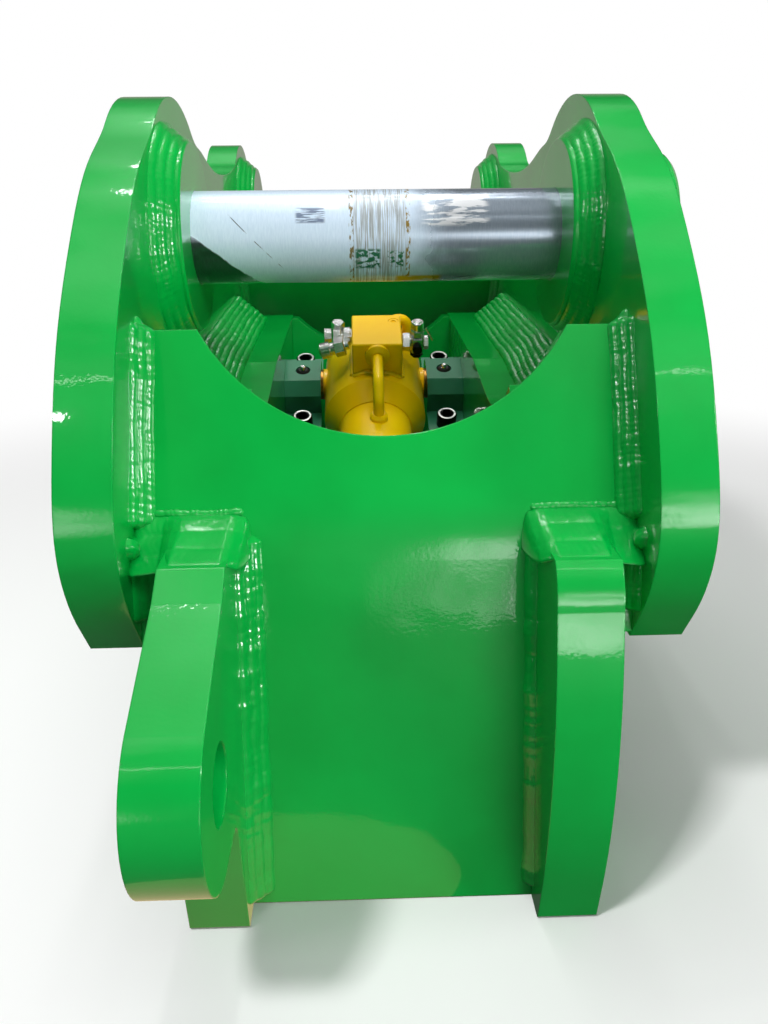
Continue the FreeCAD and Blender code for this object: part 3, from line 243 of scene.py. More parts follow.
near = maths(tree, "MULTIPLY", near, PATCH_STRENGTH)
glint = add(tree, "ShaderNodeEmission", {"Color": PATCH_COLOUR, "Strength": near}, 0)
plain = add(tree, "ShaderNodeAddShader", {0: shader.outputs[0], 1: glint}, 0)
seen = add(tree, "ShaderNodeMixShader", {0: shown, 1: plain, 2: ground}, 0)
tree.links.new(seen, tree.nodes["Material Output"].inputs["Surface"])
floor_mesh.materials.append(floor_paint)
print("floor at", round(FLOOR_Z, 4))

# %% [markdown]
# The air round the coupler is that of a workshop: dark and uneven, brighter overhead, with
# two doorways behind the camera that show in the enamel as soft patches of light. The wall
# behind the coupler is a warm grey, but the camera's own rays see plain white there.

# %% World
DOORS = (  # toward, cosines where the glow begins and where it is full, strength
    ((0.36, -0.93, -0.03), 0.93, 0.992, 5.0),
    ((-0.42, -0.90, 0.10), 0.975, 0.996, 2.5))
WALL = "#98928A"
WALL_IN_GLOSS = 0.08

world = bpy.data.worlds.new("studio_air")
world.use_nodes = True
tree = world.node_tree
paths = add(tree, "ShaderNodeLightPath").outputs
direction = add(tree, PLACE, out="Generated")
split = add(tree, SPLIT, {"Vector": direction}).outputs
above = ranged(tree, split["Z"], -1.0, 1.0)
room = ramp(tree, above, (0.0, 0.12), (0.45, 0.05), (0.60, 0.03), (0.80, 0.05), (0.92, 0.30),
            (1.0, 0.5))
clutter = noisy(tree, direction, 3.2, 3.0)
clutter = ranged(tree, clutter, 0.42, 0.66, 0.4, 2.2)
room = scaled(tree, room, clutter)
behind = ranged(tree, split["Y"], 0.15, 0.7, smooth=True)
low = ranged(tree, split["Z"], 0.5, 0.15, smooth=True)
behind = maths(tree, "MULTIPLY", behind, low)
air = mixed(tree, behind, room, WALL)
haze = noisy(tree, direction, 7.0, 2.0)
haze = ranged(tree, haze, 0.36, 0.60, 0.25, 1.3)
# no glow below the floor's far edge, which would cut it off
raised = ranged(tree, split["Z"], -0.19, -0.03, smooth=True)
for toward, wide, narrow, strength in DOORS:
    facing = vectors(tree, "DOT_PRODUCT", direction, Vector(toward).normalized())
    glow = ranged(tree, facing, wide, narrow, high=strength, smooth=True)
    glow = maths(tree, "MULTIPLY", glow, haze)
    glow = maths(tree, "MULTIPLY", glow, raised)
    air = vectors(tree, "ADD", air, glow)
shown = whiteness(tree, paths, maths(tree, "MULTIPLY", behind, WALL_IN_GLOSS))
backdrop = mixed(tree, shown, air, WHITE)
tree.links.new(backdrop, tree.nodes["Background"].inputs["Color"])
bpy.context.scene.world = world

# %% [markdown]
# Glossy enamel shows the shape of each lamp. So the large lamps that do the lighting are kept
# out of the gloss, and narrow strips and small spots far to the sides glint on the crests of
# the welds. The floor has a lamp of its own on the left, while the coupler is lit from the
# right: light linking keeps the two apart.

# %% Lamps
LAMPS = (  # name, place, aim, size, power, whether it shows in gloss, its link to the floor
    ("ceiling_strip_0", (-0.1, 0.0, 2.1), (0, 0, -0.1), (1.3, 0.06), 6, True, None),
    ("ceiling_strip_1", (-0.1, 0.5, 2.1), (0, 0.15, -0.1), (1.3, 0.06), 6, True, None),
    ("ceiling_strip_2", (-0.1, 1.1, 2.1), (0, 0.33, -0.1), (1.3, 0.06), 6, True, None),
    ("front_strip", (0, -2.1, 2.2), (0, 0, 0), (3.0, 0.03), 2, True, None),
    ("key_lamp", (0.75, -1.6, 1.6), (0, 0.05, -0.3), (0.9, 0.9), 28, False, "EXCLUDE"),
    ("side_lamp", (1.9, -0.9, 0.6), (-0.2, -0.2, -0.2), (0.3, 0.3), 11, True, "EXCLUDE"),
    ("left_side_lamp", (-1.8, -1.0, 0.9), (0.2, -0.2, -0.2), (0.2, 0.2), 4, True, "EXCLUDE"),
    ("right_spot", (1.35, -1.25, 0.9), (0, 0, -0.25), (0.10, 0.10), 2.5, True, "EXCLUDE"),
    ("low_spot", (1.6, -1.1, -0.3), (0, -0.2, -0.25), (0.2, 0.2), 7, True, "EXCLUDE"),
    ("left_spot", (-0.92, -1.70, 1.2), (0, 0, -0.25), (0.07, 0.07), 1.2, True, "EXCLUDE"),
    ("top_spot", (0.05, -0.55, 1.8), (0, 0.1, -0.2), (0.15, 0.15), 7, False, "EXCLUDE"),
    ("left_fill", (-2.3, 0.9, 0.7), (-0.2, 0.2, -0.2), (1.2, 0.8), 14, False, "EXCLUDE"),
    ("right_fill", (2.3, 1.1, 0.7), (0.2, 0.2, -0.2), (1.2, 0.8), 9, False, "EXCLUDE"),
    ("floor_lamp", (-0.95, -1.3, 1.7), (0, 0.05, -0.3), (0.3, 0.3), 42, True, "INCLUDE"),
    ("front_lamp", (0.1, -2.4, 0.3), (0, 0, -0.3), (1.0, 0.8), 3, False, None),
    ("rear_lamp", (-0.6, 2.2, 1.6), (0, 0.3, -0.2), (1.4, 1.0), 11, False, None))


def lamp(name, place, aim, size, power, in_gloss, floor_link):
    """A soft rectangular lamp, which may light all but the floor, or the floor alone."""
    made = bpy.data.lights.new(name, "AREA")
    made.shape = "RECTANGLE"
    made.size, made.size_y = size
    made.energy = power
    holder = bpy.data.objects.new(name, made)
    holder.location = place
    holder.rotation_euler = (Vector(aim) - Vector(place)).to_track_quat("-Z", "Y").to_euler()
    holder.visible_glossy = in_gloss
    bpy.context.scene.collection.objects.link(holder)
    if floor_link:
        group = bpy.data.collections.new(name + "_receivers")
        group.objects.link(floor)
        group.collection_objects[0].light_linking.link_state = floor_link
        holder.light_linking.receiver_collection = group


for settings in LAMPS:
    lamp(*settings)
print("lamps:", len(bpy.data.lights))

# %% [markdown]
# ## Green enamel
#
# Welded plant parts are sprayed with two-part polyurethane enamel. It is thick, wet-looking
# paint: a saturated colour under a clear gloss of IOR 1.5. Two things keep it from looking
# like plastic. The film has an orange peel, shallow waves of about 3 mm, over longer ones of
# plates that aren't quite flat. And the cut plates have slightly rounded edges, where the
# gloss catches light. The rounding is done with a Bevel node, which bends the shading near an
# edge without touching the mesh. The ram's yellow has far less gloss than the green.

# %% Enamel
PEEL_DEPTH = 0.04 * MM
WAVE_DEPTH = 0.45 * MM


def enamel(name, deep, body, rounding=1.6, gloss=1.0):
    """Glossy sprayed enamel: the deep colour shows where the film is thick."""
    made, tree, shader = finish_named(name, Roughness=0.30, IOR=1.5, Coat_Weight=gloss,
                                      Coat_Roughness=0.04, Specular_IOR_Level=0.22)
    place = add(tree, PLACE, out="Object")
    clouds = noisy(tree, place, 9.0, 4.0)
    film = ramp(tree, clouds, (0.35, deep), (0.65, body))
    tree.links.new(film, shader.inputs["Base Color"])
    orange_peel = noisy(tree, place, 330.0, 1.5)
    plate_waves = noisy(tree, place, 22.0, 1.0)
    edge = add(tree, "ShaderNodeBevel", {"Radius": rounding * MM}, 0, samples=4)
    waves = bumped(tree, plate_waves, WAVE_DEPTH, edge)
    skin = bumped(tree, orange_peel, PEEL_DEPTH, waves)
    tree.links.new(skin, shader.inputs["Normal"])
    tree.links.new(skin, shader.inputs["Coat Normal"])
    return made


green_enamel = enamel("green_polyurethane_enamel", "#009C39", "#00A840")
dark_green_enamel = enamel("bottle_green_enamel", "#2B7251", "#378C66", rounding=0.8)
yellow_enamel = enamel("yellow_polyurethane_enamel", "#F8C000", "#FFD600", rounding=0.8,
                       gloss=0.4)
print("enamels:", green_enamel.name, dark_green_enamel.name, yellow_enamel.name)

# %% [markdown]
# ## Steels, bronze and rubber
#
# Bare metals differ mostly in how they were made. A ground pin has fine rings round it from
# the grinding wheel, a chromed rod is nearly a mirror, zinc plating is milky, and black oxide
# on screws is dark with a dull sheen. Each is one Principled shader with a full metallic
# value, and the marks of making as bump and roughness.

# %% Metals and rubber
def metal(name, tone_a, tone_b, roughness, grain, depth=0.01, stretch=(1, 1, 1)):
    """A bare or plated metal with grain of a scale and a depth in mm, stretched along an axis."""
    made, tree, shader = finish_named(name, Metallic=1.0)
    place = add(tree, PLACE, out="Object")
    turned = add(tree, "ShaderNodeMapping", {"Vector": place, "Scale": stretch}, 0)
    marks = noisy(tree, turned, grain, 3.0)
    tone = ramp(tree, marks, (0.3, tone_a), (0.7, tone_b))
    tree.links.new(tone, shader.inputs["Base Color"])
    gloss = ranged(tree, marks, 0.0, 1.0, roughness * 0.8, roughness * 1.25)
    tree.links.new(gloss, shader.inputs["Roughness"])
    edge = add(tree, "ShaderNodeBevel", {"Radius": 0.5 * MM}, 0, samples=4)
    tree.links.new(bumped(tree, marks, depth * MM, edge), shader.inputs["Normal"])
    return made


ground_steel = metal("ground_steel", "#C6CDD4", "#DCE2E8", 0.20, 160, stretch=(14, 1, 1))
chromed_steel = metal("hard_chromed_rod", "#D4D6D8", "#DEE0E2", 0.09, 900, depth=0.003)
zinc_plate = metal("zinc_plated_steel", "#BFC1BC", "#D8D9D3", 0.30, 700)
black_oxide = metal("black_oxide_steel", "#1C1C1D", "#2A2A2B", 0.42, 700)
bearing_bronze = metal("bearing_bronze", "#A9783A", "#BE8C48", 0.32, 500)

seal_rubber, tree, shader = finish_named("nitrile_rubber", Roughness=0.62)
place = add(tree, PLACE, out="Object")
grit = noisy(tree, place, 900.0, 2.0)
black = ramp(tree, grit, (0.3, "#121212"), (0.7, "#1E1E1E"))
tree.links.new(black, shader.inputs["Base Color"])

# %% [markdown]
# ## The worn stick pin
#
# The bare pin is the brightest thing on the coupler. It was ground, then wiped with a
# preserving film that leaves it cloudy and pale, so it is only partly metallic under a thin
# coat. The film's pale bluish tone is partly a painted reflection of a bright ceiling, and the
# dark slanted corner where it ends at the lower left is a painted reflection of the green
# plate. A trial stick has turned on its middle: it left rings, rust at both edges of the
# rubbed band, and smears of green and yellow paint. Each mark is a soft box on the pin times
# a broken noise, placed in metres along and across the pin.

# %% Worn pin
AROUND = (-0.05, 0.05)
PIN_MARKS = (  # span along the pin, span of height, grain, stretch, cover, colour
    ((-0.024, 0.028), AROUND, 45.0, (22, 0.6, 0.6), 0.50, "#9DA4A6"),  # the rubbed band
    ((-0.024, 0.028), AROUND, 170.0, (9, 0.25, 0.25), 0.34, "#6E6E62"),  # its dark rings
    ((-0.0250, -0.0205), AROUND, 420.0, (1, 0.4, 0.4), 0.45, "#7B6A3C"),  # rust at its edges
    ((0.0245, 0.0290), AROUND, 420.0, (1, 0.4, 0.4), 0.47, "#8A7330"),
    ((-0.021, 0.004), (-0.027, -0.008), 190.0, (1, 1, 1.6), 0.52, "#1E6444"),  # green paint
    ((0.008, 0.024), (-0.026, -0.010), 260.0, (1, 1, 1.4), 0.48, "#2A6B45"),
    ((0.014, 0.060), (-0.050, -0.032), 50.0, (0.4, 1, 1), 0.56, "#C79F10"),  # yellow paint
    ((-0.072, -0.044), (0.012, 0.026), 330.0, (0.2, 1, 3), 0.53, "#6E7C93"),  # a blue smudge
    ((0.036, 0.100), (0.008, 0.037), 160.0, (0.35, 1, 2), 0.50, "#F2F5F7"))  # pale scuffs
PIN_SCRATCH = ((-0.108, -0.040), (-0.0771, -0.0762), 90.0, (1, 1, 1), 0.52, "#4C5560")


def marked(tree, tint, place, axes, mark):
    """The tint with a broken stain between two spans, one along each of two axes."""
    *spans, grain, stretch, cover, stain = mark
    mask = 1.0
    for value, (low, high) in zip(axes, spans):
        away = maths(tree, "SUBTRACT", value, (low + high) / 2)
        away = maths(tree, "ABSOLUTE", away)
        half = (high - low) / 2
        inside = ranged(tree, away, half, half * 0.75, smooth=True)
        mask = maths(tree, "MULTIPLY", inside, mask)
    turned = add(tree, "ShaderNodeMapping", {"Vector": place, "Scale": stretch}, 0)
    specks = noisy(tree, turned, grain, 4.0)
    specks = ranged(tree, specks, 0.96 - cover, 1.04 - cover)
    mask = maths(tree, "MULTIPLY", mask, specks)
    return mixed(tree, mask, tint, stain)


def worn_pin():
    """Ground steel under a pale film, whose tone also paints in reflections, with the marks of
    wear over both.
    """
    made, tree, shader = finish_named("waxed_pin_steel", Coat_Weight=0.35, Coat_Roughness=0.03)
    place = add(tree, PLACE, out="Object")
    split = add(tree, SPLIT, {"Vector": place}).outputs
    rings = add(tree, "ShaderNodeMapping", {"Vector": place, "Scale": (7, 1, 1)}, 0)
    grind = noisy(tree, rings, 160.0, 3.0)

    # the film ends in a slanted edge at the lower left, where the dark bare tone is a painted
    # reflection of the green plate, and fades towards the right, which is darker
    ragged = noisy(tree, place, 45.0, 5.0)
    reflection_edge = vectors(tree, "DOT_PRODUCT", place, (0.605, 0, 0.796))
    reflection_edge = maths(tree, "MULTIPLY_ADD", ragged, 0.006, reflection_edge)
    corner = ranged(tree, reflection_edge, -0.0925, -0.0910)
    rightward_fade = maths(tree, "MULTIPLY_ADD", ragged, 0.05, split["X"])
    rightward_fade = ranged(tree, rightward_fade, 0.10, 0.04, 0.35, smooth=True)
    film = maths(tree, "MULTIPLY", corner, rightward_fade)
    # the pale film tone is partly a painted reflection of a bright ceiling, and the dark bare tone
    # at the lower left is a painted reflection of the green plate
    bare = ramp(tree, grind, (0.3, "#50575E"), (0.7, "#666D75"))
    pale_film_and_reflection_tone = ramp(tree, grind, (0.25, "#C2D5E8"), (0.75, "#D2E2F2"))
    tint = mixed(tree, film, bare, pale_film_and_reflection_tone)
    tree.links.new(ranged(tree, film, 0.0, 1.0, 0.9, 0.12), shader.inputs["Metallic"])
    tree.links.new(ranged(tree, film, 0.0, 1.0, 0.16, 0.34), shader.inputs["Roughness"])

    down = vectors(tree, "DOT_PRODUCT", place, (0.707, 0, -0.707))
    over = vectors(tree, "DOT_PRODUCT", place, (0.707, 0, 0.707))
    for mark in PIN_MARKS:
        tint = marked(tree, tint, place, (split["X"], split["Z"]), mark)
    tint = marked(tree, tint, place, (down, over), PIN_SCRATCH)
    tree.links.new(tint, shader.inputs["Base Color"])
    tree.links.new(bumped(tree, grind, 0.002 * MM), shader.inputs["Normal"])
    return made


FINISHES = {
    "green_paint": green_enamel, "dark_green_paint": dark_green_enamel,
    "yellow_paint": yellow_enamel, "ground_steel": ground_steel, "chromed_rod": chromed_steel,
    "zinc_steel": zinc_plate, "black_steel": black_oxide, "bronze": bearing_bronze,
    "seal_rubber": seal_rubber}
for piece in nodes.values():
    for holder in piece.material_slots:
        holder.material = FINISHES[holder.material.name]
nodes["stick_pin"].material_slots[0].material = worn_pin()
nodes["valve_plug"].material_slots[0].material = yellow_enamel
print("finishes given to", len(nodes), "solids")

# %% [markdown]
# ## Runs of weld
#
# Thick plates are joined by several passes of MIG weld laid side by side. Each pass is a low
# bead, and its pool leaves a ripple every few millimetres as it freezes. A bead could be a
# bevelled curve with a bump, but the ripples have to break the outline and the gloss, so
# they are real shape here. One Geometry Nodes tree makes any number of passes from plain
# curves: it cuts each curve into short steps, lets it wander a little, sweeps a circle along
# it, and pushes the skin in and out once per ripple. The radius of each pass is the radius
# of its curve's points. Ends taper, as where an arc is struck and broken off.

# %% The weld tree
LONGEST_TAPER = 7.0 * MM
UNEVEN_BEAT = 13.0 * MM


def new_tree(name, *inputs):
    """An empty Geometry Nodes tree with named inputs, and the sockets that give them."""
    tree = bpy.data.node_groups.new(name, "GeometryNodeTree")
    tree.interface.new_socket("Geometry", in_out="OUTPUT", socket_type="NodeSocketGeometry")
    for label, kind, value in (("Geometry", "Geometry", None), *inputs,
                               ("Material", "Material", None)):
        made = tree.interface.new_socket(label, in_out="INPUT", socket_type="NodeSocket" + kind)
        if value is not None:
            made.default_value = value
    return tree, add(tree, "NodeGroupInput").outputs


def end_tree(tree, geometry, given):
    """Ends a tree with its geometry in the given material."""
    done = add(tree, "GeometryNodeSetMaterial",
               {"Geometry": geometry, "Material": given["Material"]}, 0)
    add(tree, "NodeGroupOutput", {0: done})
    return tree


def weld_tree():
    """Passes of weld along curves, each as thick as its curve's radius says."""
    tree, given = new_tree(
        "weld_passes", ("Step", "Float", 0.8 * MM), ("Ripple Pitch", "Float", 4.6 * MM),
        ("Ripple Depth", "Float", 0.34 * MM), ("Wander", "Float", 0.8 * MM),
        ("Lumps", "Float", 0.12), ("Sides", "Int", 16), ("Seed", "Float", 0.0))
    cut = add(tree, "GeometryNodeResampleCurve",
              {"Curve": given["Geometry"], "Length": given["Step"]}, 0, mode="LENGTH")
    place = add(tree, "GeometryNodeInputPosition", out=0)

    # the torch drifts from the line
    drift = add(tree, NOISE, {"Vector": place, "W": given["Seed"], "Scale": 28.0, "Detail": 1.0},
                "Color", noise_dimensions="4D")
    centred = vectors(tree, "SUBTRACT", drift, (0.5, 0.5, 0.5))
    reach = maths(tree, "MULTIPLY", given["Wander"], 4.0)
    aside = scaled(tree, centred, reach)
    moved = add(tree, "GeometryNodeSetPosition", {"Geometry": cut, "Offset": aside}, 0)
    along = add(tree, "GeometryNodeSplineParameter", out="Length")
    measured = add(tree, "GeometryNodeStoreNamedAttribute",
                   {"Geometry": moved, "Name": "along", "Value": along}, 0, data_type="FLOAT")

    # each pass swells a little, and tapers at its two ends unless it closes on itself
    width = add(tree, "GeometryNodeInputRadius", out=0)
    whole = add(tree, "GeometryNodeSplineLength", out="Length")
    left = maths(tree, "SUBTRACT", whole, along)
    to_end = maths(tree, "MINIMUM", along, left)
    blunt = maths(tree, "MINIMUM", width, LONGEST_TAPER)
    nearness = maths(tree, "DIVIDE", to_end, blunt)
    short = maths(tree, "SUBTRACT", 0.98, nearness, use_clamp=True)
    taper = maths(tree, "MULTIPLY", short, short)
    taper = maths(tree, "SUBTRACT", 1.0, taper)
    closed = add(tree, "GeometryNodeInputSplineCyclic", out=0)
    taper = maths(tree, "MAXIMUM", taper, closed)
    swell = add(tree, NOISE, {"Vector": place, "W": given["Seed"], "Scale": 70.0, "Detail": 1.0},
                "Fac", noise_dimensions="4D")
    swell = maths(tree, "SUBTRACT", swell, 0.5)
    swell = maths(tree, "MULTIPLY_ADD", swell, given["Lumps"], 1.0)
    thick = maths(tree, "MULTIPLY", width, taper)
    thick = maths(tree, "MULTIPLY", thick, swell)
    ring = add(tree, "GeometryNodeCurvePrimitiveCircle",
               {"Resolution": given["Sides"], "Radius": 1.0}, 0)
    bead = add(tree, "GeometryNodeCurveToMesh", {
        "Curve": measured, "Profile Curve": ring, "Scale": thick, "Fill Caps": True}, 0)

    # one rounded crest per ripple, with an uneven beat
    walked = add(tree, "GeometryNodeInputNamedAttribute", {"Name": "along"}, 0, data_type="FLOAT")
    unrest = noisy(tree, place, 75.0, 1.0)
    beat = maths(tree, "MULTIPLY_ADD", unrest, UNEVEN_BEAT, walked)
    beat = maths(tree, "DIVIDE", beat, given["Ripple Pitch"])
    beat = maths(tree, "MULTIPLY", beat, math.pi)
    crest = maths(tree, "SINE", beat)
    crest = maths(tree, "ABSOLUTE", crest)
    crest = maths(tree, "SUBTRACT", crest, 0.6)
    rise = maths(tree, "MULTIPLY", crest, given["Ripple Depth"])
    outward = add(tree, "GeometryNodeInputNormal", out=0)
    push = scaled(tree, outward, rise)
    rippled = add(tree, "GeometryNodeSetPosition", {"Geometry": bead, "Offset": push}, 0)
    smooth = add(tree, "GeometryNodeSetShadeSmooth", {"Geometry": rippled}, 0)
    return end_tree(tree, smooth, given)


WELD_TREE = weld_tree()


def as_piece(name, mesh, body, slot, finish=None):
    """A mesh as a piece that rides on a body, in its own finish or else the slot's."""
    if not mesh.materials:
        mesh.materials.append(finish or FINISHES[slot])
    piece = bpy.data.objects.new(name, mesh)
    bpy.context.scene.collection.objects.link(piece)
    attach(piece, body)
    print(name, len(mesh.polygons), "faces")
    return piece


def grown(name, host, tree, body, slot, **values):
    """The plain mesh that a tree makes from a host object, as a piece that rides on a body."""
    sockets = {item.name: item.identifier for item in tree.interface.items_tree
               if item.in_out == "INPUT"}
    growth = host.modifiers.new("growth", "NODES")
    growth.node_group = tree
    growth[sockets["Material"]] = FINISHES[slot]
    for socket, value in values.items():
        growth[sockets[socket.replace("_", " ")]] = value
    bpy.context.view_layer.update()
    view = bpy.context.evaluated_depsgraph_get()
    mesh = bpy.data.meshes.new_from_object(host.evaluated_get(view))
    mesh.name = name
    bpy.data.objects.remove(host)
    if "along" in mesh.attributes:
        mesh.attributes.remove(mesh.attributes["along"])
    return as_piece(name, mesh, body, slot)


def lines_object(name, runs):
    """A curve object of plain lines: each run is (points in mm, radius in mm, closed)."""
    data = bpy.data.curves.new(name, "CURVE")
    data.dimensions = "3D"
    for points, radius, closed in runs:
        spline = data.splines.new("POLY")
        spline.points.add(len(points) - 1)
        for knot, point in zip(spline.points, points):
            knot.co = (*(c * MM for c in point), 1.0)
            knot.radius = radius * MM
        spline.use_cyclic_u = closed
    made = bpy.data.objects.new(name, data)
    bpy.context.scene.collection.objects.link(made)
    return made


def weld(name, runs, body="frame", slot="green_paint", **values):
    """Passes of weld along runs, painted with the body that they ride on."""
    return grown(name, lines_object(name + "_lines", runs), WELD_TREE, body, slot, **values)


# %% [markdown]
# A corner between two plates is filled by a few passes side by side. A helper places them:
# it knows the corner's line and the two directions that lead away from it along the plates,
# and sets each pass just proud of the slope between the two toes. A weld's edge on a plate is
# called its toe, and the corner under it its root.

# %% Passes in a corner
PROUD = 1.1  # mm that a pass stands out of the slope


def fillet(corner, along_a, along_b, legs, passes=3, lap=1.3):
    """Passes that fill the corner line, given directions along both plates away from it.

    Legs are the widths along the plates in mm. A pass is a tube sunk into the corner: lap is
    its radius in pass widths, so that a larger lap gives flatter passes.
    """
    toe_a = Vector(along_a).normalized() * legs[0]
    toe_b = Vector(along_b).normalized() * legs[1]
    across = toe_b - toe_a
    opening = toe_a + toe_b
    opening = (opening - across * opening.dot(across) / across.length_squared).normalized()
    radius = lap * across.length / passes
    runs = []
    for i in range(passes):
        shift = toe_a + across * ((i + 0.5) / passes) - opening * (radius - PROUD)
        runs.append(([Vector(p) + shift for p in corner], radius, False))
    return runs


def both_ways(runs):
    """The runs and their mirror images across the middle of the coupler."""
    return runs + [([Vector((-p[0], p[1], p[2])) for p in points], radius, closed)
                   for points, radius, closed in runs]


# %% [markdown]
# Where a weld changes its width and its corner along the way, tubes don't follow. There it is
# one closed skin, lofted through sections. Each section has two toes and a root, and the skin
# between its toes gets the crests of the passes, their ripples and some lumps.

# %% A broad weld in one skin
SKIN_STEP, SKIN_ACROSS = 1.2, 36  # mm along the run, strips across it
BLUNT, BEHIND, SUNK = 9.0, 3.0, 0.5  # mm: the rounded ends, behind the root, under the plate
CREST, RIPPLE, RIPPLE_PITCH, LUMP = 0.7, 0.25, 5.0, 0.9  # mm
SKIN_PASSES = 3
HOLLOW = 0.1  # how far it sags between its toes, as a share of its depth
EDGE = 8  # each toe fades out over an eighth of the width


def band(shape, here, there):
    """Faces between two closed rings of corners."""
    for j in range(len(here)):
        k = (j + 1) % len(here)
        shape.faces.new((here[j], there[j], there[k], here[k]))


def meshed(name, shape):
    """A mesh from what was built in a bmesh, which is then freed."""
    mesh = bpy.data.meshes.new(name)
    shape.to_mesh(mesh)
    shape.free()
    return mesh


def skin_height(flat, along, share, depth):
    """How far the skin stands out in mm, at a share of the way from toe to toe."""
    bead = abs(math.sin(math.pi * share * SKIN_PASSES))
    beat = along + 5 * noise.noise(flat * 0.12) + 2.5 * bead
    height = CREST * (bead ** 0.6 - 0.4)
    height += RIPPLE * (abs(math.sin(math.pi * beat / RIPPLE_PITCH)) - 0.5)
    height += LUMP * noise.noise(flat * 0.045)
    return height - HOLLOW * depth * 4 * share * (1 - share)


def laid(name, sections):
    """One broad weld in a closed skin: sections are (toe, other toe, root) in mm along its run."""
    shape = bmesh.new()
    spans = [(b[2] - a[2]).length for a, b in zip(sections, sections[1:])]
    total = sum(spans)
    steps = int(total / SKIN_STEP)
    rings = []
    for i in range(steps + 1):
        along = rest = total * i / steps
        k = 0
        while k < len(spans) - 1 and rest > spans[k]:
            rest -= spans[k]
            k += 1
        toe, other, root = [here.lerp(there, rest / spans[k])
                            for here, there in zip(sections[k], sections[k + 1])]
        to_end = min(1.0, min(along, total - along) / BLUNT)
        full = max(0.12, math.sqrt(1 - (1 - to_end) ** 2))
        toe, other = root.lerp(toe, full), root.lerp(other, full)
        across = other - toe
        opening = (toe + other) / 2 - root
        opening -= across * opening.dot(across) / across.length_squared
        outward = opening.normalized()
        ring = [root - outward * BEHIND]
        for j in range(SKIN_ACROSS + 1):
            share = j / SKIN_ACROSS
            flat = toe.lerp(other, share)
            inside = min(1.0, EDGE * share, EDGE * (1 - share)) * full
            height = skin_height(flat, along, share, opening.length)
            ring.append(flat + outward * (height * inside - SUNK * (1 - inside)))
        rings.append([shape.verts.new(p * MM) for p in ring])
    for here, there in zip(rings, rings[1:]):
        band(shape, here, there)
    shape.faces.new(rings[0])
    shape.faces.new(rings[-1])
    bmesh.ops.recalc_face_normals(shape, faces=shape.faces)
    mesh = meshed(name, shape)
    mesh.shade_smooth()
    as_piece(name, mesh, "frame", "green_paint")


# %% [markdown]
# ### Where the plates meet
#
# The places below are those of the plates, read from their boxes where a box gives them.
# The front plate leans back, and more above its bend than below, so its corners follow two
# slopes. Its welds are broad, and they turn round its top corners. The inner plates stand out
# in front of it as two ribs, and the ledge where they do is covered by the broadest weld of
# all. The left rib, which holds the lifting eye, has three passes beside it, and the right
# one has a single pass.

# %% Places of the plates, in mm, as (y, z) where there are two numbers
PLATE_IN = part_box("outer_plate_right")[0][0] / MM
RIB_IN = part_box("inner_plate_right")[0][0] / MM
RIB_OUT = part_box("inner_plate_right")[1][0] / MM
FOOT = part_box("front_plate")[0][2] / MM
FRONT_TOP = (-172.0, -58.0)
FRONT_KNEE = (-234.0, -195.0)
FRONT_FOOT = (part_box("front_plate")[0][1] / MM, FOOT)
FRONT_THICK = 22.0
RIB_TOP_Y = -300.0


def slope(low, high):
    """The direction from low to high in the side view, and the way out of the front plate."""
    run = Vector((0, high[0] - low[0], high[1] - low[1])).normalized()
    return run, Vector((0, -run.z, run.y))


upper_run, upper_out = slope(FRONT_KNEE, FRONT_TOP)
lower_run, lower_out = slope(FRONT_FOOT, FRONT_KNEE)
print("plates:", round(PLATE_IN, 1), round(RIB_IN, 1), round(RIB_OUT, 1), round(FOOT, 1))

# %% Welds of the front plate
INWARD, OUTWARD, DOWN = (-1, 0, 0), (1, 0, 0), (0, 0, -1)
knee_low = Vector((PLATE_IN, *FRONT_KNEE)) + upper_run * 2
top_front = Vector((PLATE_IN, *FRONT_TOP))
top_back = top_front - upper_out * FRONT_THICK
plate_runs = fillet([knee_low, top_front + upper_run * 4], INWARD, upper_out, (14, 17), lap=1.05)
# round the top corner, over the plate's thickness
plate_runs += fillet([top_front + upper_out * 6, top_back - upper_out * 2], INWARD, upper_run,
                     (9, 11), passes=2)
weld("front_plate_welds", both_ways(plate_runs), Ripple_Depth=0.15 * MM,
     Ripple_Pitch=5.2 * MM, Lumps=0.14)

LEDGE_DEPTH = FRONT_KNEE[0] - RIB_TOP_Y - 3


def ledge_section(x, reach, drop=0.0, rise=14.0):
    """A section of the ledge's weld: toe on the front plate, toe on the rib, root."""
    knee = Vector((x, *FRONT_KNEE))
    return knee + upper_run * rise, knee + Vector((0, -reach, -drop)), knee - lower_run * drop


LEDGE = [
    ledge_section(PLATE_IN + 5, 34, 20), ledge_section(RIB_OUT + 8, 36, 16),
    ledge_section(RIB_OUT, LEDGE_DEPTH - 8, 4), ledge_section(RIB_OUT - 6, LEDGE_DEPTH),
    ledge_section(RIB_IN + 5, LEDGE_DEPTH), ledge_section(RIB_IN, LEDGE_DEPTH - 3, 2, 13.0),
    ledge_section(RIB_IN - 5, LEDGE_DEPTH - 12, 8, 11.0), ledge_section(RIB_IN - 10, 34, 16, 8.0)]
for side, name in ((1, "ledge_weld_right"), (-1, "ledge_weld_left")):
    laid(name, [[Vector((side * p.x, p.y, p.z)) for p in section] for section in LEDGE])
# a thin bead along its toe on the front plate, and a blob where it ends at the outer plate
toe = [Vector((x, *FRONT_KNEE)) + upper_run * 14 - upper_out * 1.0
       for x in (PLATE_IN + 3, RIB_IN - 4)]
blob = [Vector((PLATE_IN + 3, -248, -194)), Vector((PLATE_IN + 2, -262, -204))]
weld("ledge_toe_beads", both_ways([(toe, 3.0, False), (blob, 10.0, False)]), Lumps=0.7,
     Ripple_Depth=0.6 * MM)

